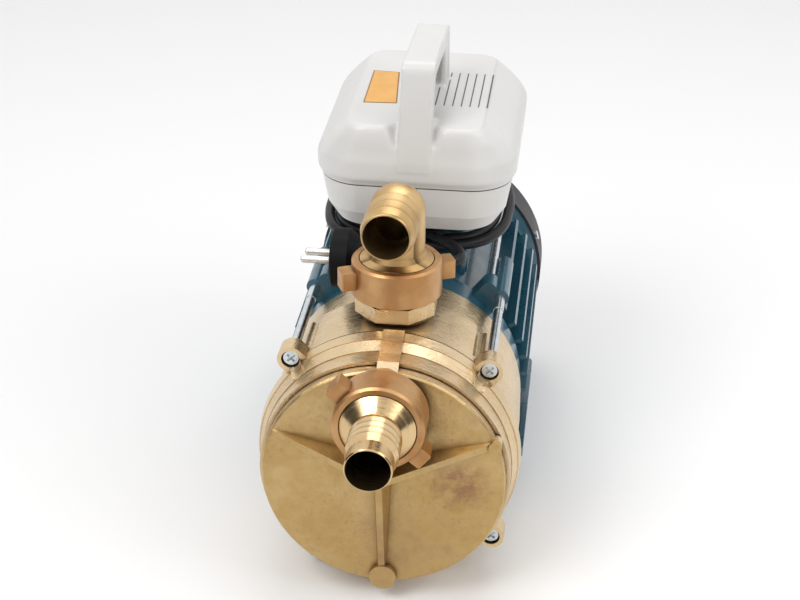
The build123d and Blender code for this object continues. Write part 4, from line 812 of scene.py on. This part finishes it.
def solid(name: str, rings: Sequence[Sequence[Point]]) -> bpy.types.Object:
    """Closed solid through rings of equally many points, capped at both ends.

    Args:
        name: name of the object.
        rings: each a loop of points in metres.

    Returns:
        The object, linked to the scene.
    """
    work = bmesh.new()
    loops = [[work.verts.new(point) for point in ring] for ring in rings]
    for low, high in zip(loops, loops[1:]):
        for index in range(len(low)):
            following = (index + 1) % len(low)
            work.faces.new((low[index], low[following], high[following], high[index]))
    work.faces.new(list(reversed(loops[0])))
    work.faces.new(loops[-1])
    bmesh.ops.recalc_face_normals(work, faces=work.faces)
    mesh = bpy.data.meshes.new(name)
    work.to_mesh(mesh)
    work.free()
    thing = bpy.data.objects.new(name, mesh)
    bpy.context.scene.collection.objects.link(thing)
    return thing


def rounded(
    width: float, length: float, corner: float, steps: int = 10
) -> list[tuple[float, float]]:
    """Points of a rounded rectangle round nought, counter-clockwise.

    Args:
        width: size along the first coordinate.
        length: size along the second coordinate.
        corner: radius of the corners.
        steps: points to each corner, less one.

    Returns:
        The points.
    """
    points = []
    for sign_x, sign_y, start in ((1, 1, 0), (-1, 1, 90), (-1, -1, 180), (1, -1, 270)):
        for step in range(steps + 1):
            angle = math.radians(start + 90 * step / steps)
            across = sign_x * (width / 2 - corner) + corner * math.cos(angle)
            along = sign_y * (length / 2 - corner) + corner * math.sin(angle)
            points.append((across, along))
    return points


def box_piece(name: str, size: Point) -> bpy.types.Object:
    """Box round its own centre, sizes in metres."""
    x, y, z = (value / 2 for value in size)
    return solid(name, [[(-x, -y, h), (x, -y, h), (x, y, h), (-x, y, h)] for h in (-z, z)])


@dataclass(frozen=True)
class Ring:
    """One level of a moulding, in millimetres."""

    rise: float
    width: float
    length: float
    corner: float
    shift: float = 0.0

    def points(self, x: float, depth: float) -> list[Point]:
        """The ring's points in metres round a centre."""
        outline = rounded(self.width, self.length, self.corner)
        return [mm(x + px, depth + self.shift + py, self.rise) for px, py in outline]


@dataclass
class BoxLid:
    """Lid of the terminal box and its channel handle, one white moulding.

    Sizes are in millimetres. A profile is a row of corners, each as depth, rise and radius.

    Attributes:
        shell: levels of the lid's outside, from below the rim to the top.
        skin: voxel size and smoothing rounds of the lid by itself.
        joined_skin: the same for the lid with its handle.
        bar_sides: left and right side of the handle.
        bar_lean: how far the handle leans over its height.
        bar_yaw: how far it turns along its length.
        bar_skin: wall of the handle's channel.
        bar_flange: how far the channel's edges stand out at its sides.
        scoop_tip: lowest corner of a scoop, as depth and rise.
        scoop_floor: where a scoop runs out on top.
        scoop_edge: side reach, depth and rise of a scoop's outer corner.
        scoop_room: how far the hollow stays back behind the scoops.
        posts: spacing across and along, and radius of the screw posts.
    """

    x: float = 3.0
    depth: float = 209.0
    rim: float = 138.8
    wall: float = 2.6
    shell: tuple[Ring, ...] = (
        Ring(122.0, 124.0, 163.0, 28.0),
        Ring(138.8, 124.0, 163.0, 28.0),
        Ring(141.5, 126.6, 165.6, 29.0),
        Ring(143.0, 129.6, 168.6, 30.0),
        Ring(154.0, 130.0, 169.0, 30.0),
        Ring(161.0, 121.5, 164.0, 27.0, -1.2),
        Ring(169.0, 107.5, 156.5, 21.0, -4.2),
        Ring(175.5, 94.0, 149.0, 15.5, -6.8),
        Ring(179.0, 86.5, 143.0, 12.0, -8.0),
    )
    skin: tuple[float, int] = (1.25, 9)
    joined_skin: tuple[float, int] = (1.05, 5)
    bar_sides: tuple[float, float] = (-7.5, 13.8)
    bar_lean: float = 1.9
    bar_yaw: float = 2.0
    bar_skin: float = 3.0
    bar_flange: float = 0.9
    bar_profile: tuple[Corner, ...] = (
        (136.0, 150.0, 0.5), (124.2, 150.0, 0.5), (124.2, 156.0, 3.0), (130.2, 221.3, 7.0),
        (210.5, 221.3, 6.0), (224.0, 176.0, 0.5), (206.0, 176.0, 0.5), (198.5, 208.0, 4.0),
        (144.0, 208.0, 4.0), (147.0, 176.0, 0.5),
    )
    bar_hollow: tuple[Corner, ...] = (
        (129.9, 180.2, 0.1), (133.6, 217.9, 3.5), (206.6, 217.9, 3.5), (217.8, 180.2, 0.1),
    )
    skin_profile: tuple[Corner, ...] = (
        (127.6, 150.0, 0.3), (124.2, 150.0, 0.3), (124.2, 156.0, 3.0), (130.2, 221.3, 7.0),
        (210.5, 221.3, 6.0), (224.0, 176.0, 0.3), (220.6, 176.0, 0.3), (207.2, 217.9, 3.5),
        (133.2, 217.9, 3.5), (127.6, 158.0, 0.3),
    )
    scoop_tip: tuple[float, float] = (119.5, 150.0)
    scoop_floor: tuple[float, float] = (142.0, 182.5)
    scoop_edge: tuple[float, float, float] = (15.5, 125.0, 182.5)
    scoop_room: float = 17.0
    posts: tuple[float, float, float] = (80.0, 124.0, 5.0)
    post_top: float = 160.0

    def build(self, finish: bpy.types.Material) -> bpy.types.Object:
        """Makes the lid, hollow, with its handle in one skin.

        Args:
            finish: the white plastic.

        Returns:
            The lid, which stands for the CAD's terminal lid.
        """
        levels = [level.points(self.x, self.depth) for level in self.shell]
        body = solid("terminal_lid_visual", levels)
        for side in (-1, 1):
            self._combine(body, self._scoop(side), Joining.CUT)
        self._soften(body, *self.skin)
        self._combine(body, self._handle(), Joining.ADD)
        self._soften(body, *self.joined_skin)
        self._combine(body, self._cavity(), Joining.CUT)
        self._add_posts(body)
        body.data.materials.clear()
        body.data.materials.append(finish)
        body.data.shade_smooth()
        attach(body, "pump_body")
        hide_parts("terminal_lid")
        LOG.info("lid has %d faces", len(body.data.polygons))
        return body

    def _handle(self) -> bpy.types.Object:
        """Makes the handle, a bar with a channel in it and flanges along the channel."""
        left, right = self.bar_sides
        near_left, near_right = left + self.bar_flange, right - self.bar_flange
        bar = self._bar("bar", self.bar_profile, near_left, near_right)
        channel = self._bar(
            "hollow", self.bar_hollow, near_left + self.bar_skin, near_right - self.bar_skin
        )
        self._combine(bar, channel, Joining.CUT)
        self._combine(bar, self._bar("skin", self.skin_profile, left, right), Joining.ADD)
        return bar

    def _combine(
        self, base: bpy.types.Object, other: bpy.types.Object, joining: Joining
    ) -> None:
        """Joins or cuts a solid with another, which is used up.

        Args:
            base: the solid that is kept.
            other: the solid that is added or cut away.
            joining: which of the two.
        """
        modifier = base.modifiers.new("combine", "BOOLEAN")
        modifier.operation = joining.value
        modifier.solver = "EXACT"
        modifier.object = other
        base.data = baked(base)
        bpy.data.objects.remove(other)

    def _soften(self, thing: bpy.types.Object, voxel: float, rounds: int) -> None:
        """Rounds every edge of a solid by an even new skin.

        Args:
            thing: the solid.
            voxel: size of the new faces in millimetres.
            rounds: how often the skin is smoothed.
        """
        remesh = thing.modifiers.new("skin", "REMESH")
        remesh.mode = "VOXEL"
        remesh.voxel_size = voxel * MM
        smooth = thing.modifiers.new("smooth", "SMOOTH")
        smooth.factor = 0.5
        smooth.iterations = rounds
        thing.data = baked(thing)

    def _bar(
        self, name: str, profile: Sequence[Corner], left: float, right: float
    ) -> bpy.types.Object:
        """Bar along one of the handle's profiles, leaning and turned as the handle is.

        Args:
            name: name of the object.
            profile: corners as depth, rise and radius.
            left: left side before the lean.
            right: right side before the lean.

        Returns:
            The bar.
        """
        sides: list[list[Point]] = [[], []]
        for depth, rise in filleted(profile):
            lean = self.bar_lean * (rise - 150.0) / 70.0
            yaw = self.bar_yaw * (depth - 130.0) / 80.0
            for side, x in zip(sides, (left, right)):
                side.append(mm(x + lean + yaw, depth, rise))
        return solid(name, sides)

    def _scoop(self, side: int) -> bpy.types.Object:
        """Wedge that is cut out of the lid's front edge beside the handle.

        Args:
            side: -1 for the left of the handle and 1 for the right.

        Returns:
            The wedge.
        """
        left, right = self.bar_sides
        x = right - 1.0 if side > 0 else left + 1.0
        reach, edge_depth, edge_rise = self.scoop_edge
        tip = mm(x, *self.scoop_tip)
        floor = mm(x, *self.scoop_floor)
        edge = mm(x + side * reach, edge_depth, edge_rise)
        front = mm(x, self.scoop_tip[0] - 14.0, self.scoop_floor[1] + 8.0)
        work = bmesh.new()
        corners = [work.verts.new(point) for point in (tip, floor, edge, front)]
        for face in ((0, 1, 2), (0, 1, 3), (1, 2, 3), (0, 2, 3)):
            work.faces.new([corners[index] for index in face])
        bmesh.ops.recalc_face_normals(work, faces=work.faces)
        mesh = bpy.data.meshes.new("scoop")
        work.to_mesh(mesh)
        work.free()
        thing = bpy.data.objects.new("scoop", mesh)
        bpy.context.scene.collection.objects.link(thing)
        return thing

    def _cavity(self) -> bpy.types.Object:
        """Everything below the rim and the room inside the wall.

        Returns:
            The solid that is cut away. It keeps back from the scoops and is tighter on the slope.
        """
        wide = Ring(100.0, 240.0, 280.0, 30.0)
        levels = [wide, Ring(self.rim, wide.width, wide.length, wide.corner)]
        for ring in self.shell[1:]:
            rise = min(ring.rise, self.shell[-1].rise - self.wall)
            inset = 2 * self.wall + (1.6 if ring.rise > 155.0 else 0.0)
            back = self.scoop_room if ring.rise > 143.0 else 0.0
            length = ring.length - inset - back
            corner = ring.corner - self.wall
            levels.append(Ring(rise, ring.width - inset, length, corner, ring.shift + back / 2))
        return solid("cavity", [ring.points(self.x, self.depth) for ring in levels])

    def _add_posts(self, lid: bpy.types.Object) -> None:
        """Adds the four screw posts inside the lid.

        Args:
            lid: the lid, whose mesh gets the posts.
        """
        work = bmesh.new()
        work.from_mesh(lid.data)
        across, along, radius = self.posts
        middle = (self.rim + self.post_top) / 2
        for sign_x, sign_y in ((-1, -1), (-1, 1), (1, -1), (1, 1)):
            centre = mm(self.x + sign_x * across / 2, self.depth + sign_y * along / 2, middle)
            bmesh.ops.create_cone(
                work,
                cap_ends=True,
                segments=20,
                radius1=radius * MM,
                radius2=radius * MM,
                depth=(self.post_top - self.rim) * MM,
                matrix=Matrix.Translation(centre),
            )
        work.to_mesh(lid.data)
        work.free()


def filleted(profile: Sequence[Corner], steps: int = 6) -> list[tuple[float, float]]:
    """Rounds the corners of a polygon.

    Args:
        profile: corners as first and second coordinate and radius.
        steps: points to each corner, less one.

    Returns:
        The points of the rounded polygon.
    """
    points = []
    for index, (x, y, radius) in enumerate(profile):
        corner = Vector((x, y))
        before = (Vector(profile[index - 1][:2]) - corner).normalized()
        after = (Vector(profile[(index + 1) % len(profile)][:2]) - corner).normalized()
        half = before.angle(after) / 2
        middle = corner + (before + after).normalized() * radius / math.sin(half)
        start = corner + before * radius / math.tan(half) - middle
        end = corner + after * radius / math.tan(half) - middle
        for step in range(steps + 1):
            arm = start.lerp(end, step / steps).normalized() * radius
            points.append(tuple(middle + arm))
    return points


@dataclass
class LidPrint:
    """The two printed fields on the lid, kept plain: an orange film and a ruled table.

    Attributes:
        top: rise of the lid's flat top.
        film: corners of the film, as x and depth.
        film_thickness: how far the film stands up.
        frame: width of the film's dark frame.
        table_corner: middle of the first rule, as x and depth.
        table_rules: how many rules.
        table_pitch: their spacing.
        rule: width and length of a rule.
        rule_height: height of a rule, half of it in the lid.
        sunk: how deep the film's plates reach into the lid.
    """

    top: float = 179.0
    film: tuple[tuple[float, float], ...] = (
        (-34.5, 168.9), (-12.5, 170.3), (-17.1, 227.7), (-34.9, 229.1),
    )
    film_thickness: float = 0.25
    frame: float = 0.9
    table_corner: tuple[float, float] = (12.4, 201.0)
    table_rules: int = 7
    table_pitch: float = 5.6
    rule: tuple[float, float] = (0.75, 61.0)
    rule_height: float = 0.3
    sunk: float = 0.2

    def build(self, wardrobe: Wardrobe) -> None:
        """Makes the film, its frame and the ruled table.

        Args:
            wardrobe: the finishes.
        """
        self._plate("label_film", 0.0, self.film_thickness * 0.6, wardrobe.film_frame)
        self._plate("label_face", self.frame, self.film_thickness, wardrobe.film)
        width, length = self.rule
        rule = box_piece("rule", (width * MM, length * MM, self.rule_height * MM))
        table = Repeater("ruled_table").make(
            "label_rules",
            rule,
            self.table_rules,
            self.table_pitch * MM,
            wardrobe.ink,
            mm(*self.table_corner, self.top),
        )
        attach(table, "pump_body")

    def _plate(
        self, name: str, inset: float, thickness: float, finish: bpy.types.Material
    ) -> None:
        """Makes one thin plate of the film.

        Args:
            name: name of the plate.
            inset: how far its edges stay inside the film's.
            thickness: how far it stands above the lid.
            finish: its material.
        """
        centre = sum((Vector(corner) for corner in self.film), Vector((0, 0))) / len(self.film)
        corners = []
        for corner in self.film:
            arm = Vector(corner) - centre
            inward = Vector((math.copysign(inset, arm.x), math.copysign(inset, arm.y)))
            corners.append(centre + arm - inward)
        levels = (self.top - self.sunk, self.top + thickness)
        plate = solid(name, [[mm(x, depth, level) for x, depth in corners] for level in levels])
        plate.data.materials.append(finish)
        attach(plate, "pump_body")


@dataclass
class MainsCord:
    """The mains lead from the gland, wound round the neck under the box, to the parked plug.

    Sizes are in millimetres, as x, depth behind the pump face and rise above the shaft.

    Attributes:
        gland: where the lead leaves the box.
        start_angle: direction in which the winding starts, in degrees from +X.
        half_width: half the widest turn across the pump.
        front: depth of the widest turn in front.
        rear: depth of the widest turn behind.
        squareness: how square the turns are, 2 for an ellipse.
        squareness_inside: what each millimetre of inset adds to that.
        insets: how far each turn stays inside the widest one.
        layers: rise of each turn.
        crossing: share of a turn after which it moves on to the next one's place.
    """

    radius: float = 3.5
    gland: Point = (24.0, 311.0, 122.5)
    start_angle: float = 130.0
    steps_per_turn: int = 16
    steps: int = 54
    half_width: float = 59.5
    front: float = 147.6
    rear: float = 280.5
    squareness: float = 3.4
    squareness_inside: float = 0.09
    insets: tuple[float, ...] = (-1.5, 6.3, 13.0, 5.2)
    layers: tuple[float, ...] = (89.5, 91.0, 97.5, 98.6)
    crossing: float = 0.72

    def lead(self) -> list[Point]:
        """Points from the gland over the fan cover to the winding."""
        x, y, z = self.gland
        return [(x, y, z), (x, y + 48, z), (-16, y + 58, 98), (-44, y + 22, 84), (-49, 268, 90)]

    def tail(self) -> list[Point]:
        """Points from the winding to the plug's relief."""
        return [(16, 149, 96), (38, 119.5, 98.5), (33, 101.5, 99.5), (15, 101.5, 99.5)]

    def winding(self) -> list[Point]:
        """Points of the turns round the neck, from its left rear corner to its front.

        Returns:
            Points in millimetres. The turns run counter-clockwise and cross over behind the neck.
        """
        points: list[Point] = []
        for step in range(1, self.steps + 1):
            share = step / self.steps_per_turn
            angle = math.radians(self.start_angle + 360 * share)
            inset = self._place(self.insets, share)
            points.append(self._on_ring(angle, inset, self._place(self.layers, share)))
        return points

    def _place(self, values: Sequence[float], share: float) -> float:
        """Value of a turn, moving on to the next turn's at the crossing.

        Args:
            values: one value for each turn.
            share: turns made so far.

        Returns:
            The value.
        """
        turn = min(int(share), len(values) - 1)
        following = min(turn + 1, len(values) - 1)
        part = max(0.0, (share - int(share) - self.crossing) / (1.0 - self.crossing))
        return values[turn] + (values[following] - values[turn]) * part * part * (3 - 2 * part)

    def _on_ring(self, angle: float, inset: float, rise: float) -> Point:
        """Point of the rounded ring in the direction of an angle.

        Args:
            angle: direction from the ring's middle.
            inset: how far the ring lies inside the widest one.
            rise: height of the point.

        Returns:
            The point in millimetres.
        """
        half_x = self.half_width - inset
        half_y = (self.rear - self.front) / 2 - inset
        centre_y = (self.rear + self.front) / 2
        c, s = math.cos(angle), math.sin(angle)
        power = self.squareness + self.squareness_inside * max(inset, 0.0)
        scale = (abs(c / half_x) ** power + abs(s / half_y) ** power) ** (-1 / power)
        return (c * scale, centre_y + s * scale, rise)

    def build(self, wardrobe: Wardrobe) -> bpy.types.Object:
        """Args:
            wardrobe: the finishes.

        Returns:
            The cord.
        """
        route = [mm(*point) for point in self.lead() + self.winding() + self.tail()]
        cord = self._tube(route)
        cord.data.materials.append(wardrobe.cable)
        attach(cord, "pump_body")
        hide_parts("mains_lead", "mains_coil", "plug_lead")
        length = route_length(cord)
        LOG.info("mains cord is %.3f m long", length)
        return cord

    def _tube(self, route: Sequence[Point]) -> bpy.types.Object:
        """Makes a round curve along a route.

        Args:
            route: the curve's points in metres.

        Returns:
            The curve object. Its thickness is in its points' radius, on which its box depends.
        """
        curve = bpy.data.curves.new("mains_cord", "CURVE")
        curve.dimensions = "3D"
        curve.bevel_depth = 1.0
        curve.bevel_resolution = 4
        curve.resolution_u = 6
        curve.render_resolution_u = 6
        curve.use_fill_caps = True
        spline = curve.splines.new("NURBS")
        spline.points.add(len(route) - 1)
        for point, place in zip(spline.points, route):
            point.co = (*place, 1.0)
            point.radius = self.radius * MM
        spline.order_u = 3
        spline.use_endpoint_u = True
        cord = bpy.data.objects.new("mains_cord", curve)
        bpy.context.scene.collection.objects.link(cord)
        return cord


def route_length(cord: bpy.types.Object) -> float:
    """Measures a curve's own line, with no bevel.

    Args:
        cord: the curve object.

    Returns:
        Its length in metres.
    """
    bevel = cord.data.bevel_depth
    cord.data.bevel_depth = 0.0
    bpy.context.view_layer.update()
    evaluated = cord.evaluated_get(bpy.context.evaluated_depsgraph_get())
    line = bpy.data.meshes.new_from_object(evaluated)
    places = [vertex.co.copy() for vertex in line.vertices]
    cord.data.bevel_depth = bevel
    bpy.data.meshes.remove(line)
    return sum((b - a).length for a, b in zip(places, places[1:]))


@dataclass
class CameraRig:
    """The photograph's camera, from the fit of the pump's own points.

    Attributes:
        azimuth: degrees round from straight in front.
        elevation: degrees above the horizon.
        roll: degrees of tilt.
        distance: from the target, in millimetres.
        target: x and rise of the point in the pump face's plane at the middle of the picture.
        focal_pixels: focal length in pixels of a picture of image_width.
    """

    azimuth: float = 6.14
    elevation: float = 27.12
    roll: float = 0.703
    distance: float = 1102.4
    target: tuple[float, float] = (9.343, 123.705)
    focal_pixels: float = 1897.85
    image_width: float = 800.0
    sensor: float = 36.0

    def build(self) -> bpy.types.Object:
        """Makes the camera and gives it to the scene.

        Returns:
            The camera.
        """
        azimuth = math.radians(self.azimuth)
        elevation = math.radians(self.elevation)
        roll = math.radians(self.roll)
        level = math.cos(elevation)
        forward = Vector(
            (-math.sin(azimuth) * level, math.cos(azimuth) * level, -math.sin(elevation))
        )
        right = Vector((math.cos(azimuth), math.sin(azimuth), 0.0))
        up = right.cross(forward)
        tilted_right = right * math.cos(roll) + up * math.sin(roll)
        tilted_up = up * math.cos(roll) - right * math.sin(roll)
        data = bpy.data.cameras.new("photo_camera")
        data.sensor_width = self.sensor
        data.lens = self.focal_pixels / self.image_width * self.sensor
        data.clip_start = 0.05
        data.clip_end = 20.0
        camera = bpy.data.objects.new("photo_camera", data)
        bpy.context.scene.collection.objects.link(camera)
        place = Vector(mm(self.target[0], 0.0, self.target[1])) - forward * self.distance * MM
        matrix = Matrix((tilted_right, tilted_up, -forward)).transposed().to_4x4()
        matrix.translation = place
        camera.matrix_world = matrix
        bpy.context.scene.camera = camera
        return camera


@dataclass
class Studio:
    """White floor, white surroundings and soft lamps.

    Attributes:
        floor_half: half the floor's side.
        world_light: strength of the surroundings' light on the pump.
        lamps: name, place, target, size and power of each lamp.
        cards: name, place, target, width and height of each dark card.
    """

    floor_half: float = 3.0
    world_light: float = 0.55
    lamps: tuple[Panel, ...] = (
        ("key_lamp", (-0.9, -1.3, 1.7), (0.0, -0.1, 0.15), 1.1, 20.0),
        ("fill_lamp", (1.5, -0.7, 1.2), (0.0, -0.1, 0.1), 1.2, 11.0),
        ("top_lamp", (0.1, 0.5, 1.9), (0.0, 0.0, 0.15), 1.3, 11.0),
    )
    cards: tuple[Panel, ...] = (
        ("left_card", (-0.85, -0.35, 0.30), (0.0, -0.2, 0.15), 0.8, 0.6),
        ("right_card", (0.85, -0.45, 0.30), (0.0, -0.2, 0.15), 0.7, 0.6),
        ("front_card", (0.05, -1.0, 1.0), (0.0, -0.2, 0.15), 0.5, 0.22),
        ("back_card", (0.35, 0.95, 0.75), (0.0, -0.2, 0.15), 0.35, 0.5),
        ("low_card", (-0.1, -0.85, 0.03), (0.0, -0.5, 0.5), 0.9, 0.35),
    )

    def build(self) -> None:
        """Makes the floor, the world, the cards and the lamps."""
        self._floor()
        self._world()
        self._cards()
        for name, place, target, size, power in self.lamps:
            data = bpy.data.lights.new(name, "AREA")
            data.shape = "SQUARE"
            data.size = size
            data.energy = power
            lamp = bpy.data.objects.new(name, data)
            lamp.location = place
            lamp.rotation_euler = facing(place, target)
            bpy.context.scene.collection.objects.link(lamp)

    def _cards(self) -> None:
        """Makes dark cards that are seen only as reflections in the metal."""
        graph = Graph("dark card")
        graph.set(Base_Color=(0.02, 0.018, 0.016, 1.0), Roughness=0.9, Specular_IOR_Level=0.0)
        for name, place, target, width, height in self.cards:
            card = self._sheet(name, width / 2, height / 2, graph.material)
            card.location = place
            card.rotation_euler = facing(place, target)
            card.visible_camera = card.visible_diffuse = False
            card.visible_shadow = card.visible_transmission = False

    def _white_rays(self, tree: bpy.types.NodeTree) -> object:
        """One where a camera, glossy or transmission ray looks, else nought.

        Args:
            tree: the world's nodes.

        Returns:
            The socket.
        """
        path = tree.nodes.new("ShaderNodeLightPath")
        total = path.outputs["Is Camera Ray"]
        for name in ("Is Glossy Ray", "Is Transmission Ray"):
            node = tree.nodes.new("ShaderNodeMath")
            node.operation = "MAXIMUM"
            tree.links.new(total, node.inputs[0])
            tree.links.new(path.outputs[name], node.inputs[1])
            total = node.outputs[0]
        return total

    def _floor(self) -> None:
        """Makes the pale floor, which keeps the pump's shadow."""
        graph = Graph("studio floor")
        graph.set(Base_Color=(0.9, 0.9, 0.9, 1.0), Roughness=0.9)
        self._sheet("studio_floor", self.floor_half, self.floor_half, graph.material)

    def _sheet(
        self, name: str, x: float, y: float, finish: bpy.types.Material
    ) -> bpy.types.Object:
        """Makes a flat rectangle of the studio round nought.

        Args:
            name: name of the object.
            x: half its width.
            y: half its length.
            finish: its material.

        Returns:
            The object.
        """
        mesh = bpy.data.meshes.new(name)
        mesh.from_pydata([(-x, -y, 0), (x, -y, 0), (x, y, 0), (-x, y, 0)], [], [(0, 1, 2, 3)])
        mesh.materials.append(finish)
        sheet = bpy.data.objects.new(name, mesh)
        bpy.context.scene.collection.objects.link(sheet)
        return sheet

    def _world(self) -> None:
        """Makes the plain white surroundings."""
        world = bpy.data.worlds.new("studio")
        bpy.context.scene.world = world
        world.use_nodes = True
        tree = world.node_tree
        tree.nodes.clear()
        output = tree.nodes.new("ShaderNodeOutputWorld")
        seen = tree.nodes.new("ShaderNodeBackground")
        seen.inputs["Strength"].default_value = 1.0
        light = tree.nodes.new("ShaderNodeBackground")
        light.inputs["Strength"].default_value = self.world_light
        for node in (seen, light):
            node.inputs["Color"].default_value = (1.0, 1.0, 1.0, 1.0)
        mix = tree.nodes.new("ShaderNodeMixShader")
        tree.links.new(self._white_rays(tree), mix.inputs["Fac"])
        tree.links.new(light.outputs[0], mix.inputs[1])
        tree.links.new(seen.outputs[0], mix.inputs[2])
        tree.links.new(mix.outputs[0], output.inputs["Surface"])


def facing(place: Point, target: Point) -> Euler:
    """Turn of a lamp or card at a place that faces a target."""
    return (Vector(target) - Vector(place)).to_track_quat("-Z", "Y").to_euler()


def main() -> None:
    """Builds the pump's scene in order."""
    logging.basicConfig(level=logging.INFO, format="%(name)s %(message)s")
    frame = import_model()
    bpy.context.scene.view_settings.view_transform = "Standard"
    CameraRig().build()
    Studio().build()
    wardrobe = Wardrobe()
    wardrobe.dress(frame)
    BoxLid().build(wardrobe.white)
    LidPrint().build(wardrobe)
    MainsCord().build(wardrobe)


if __name__ == "__main__":
    main()
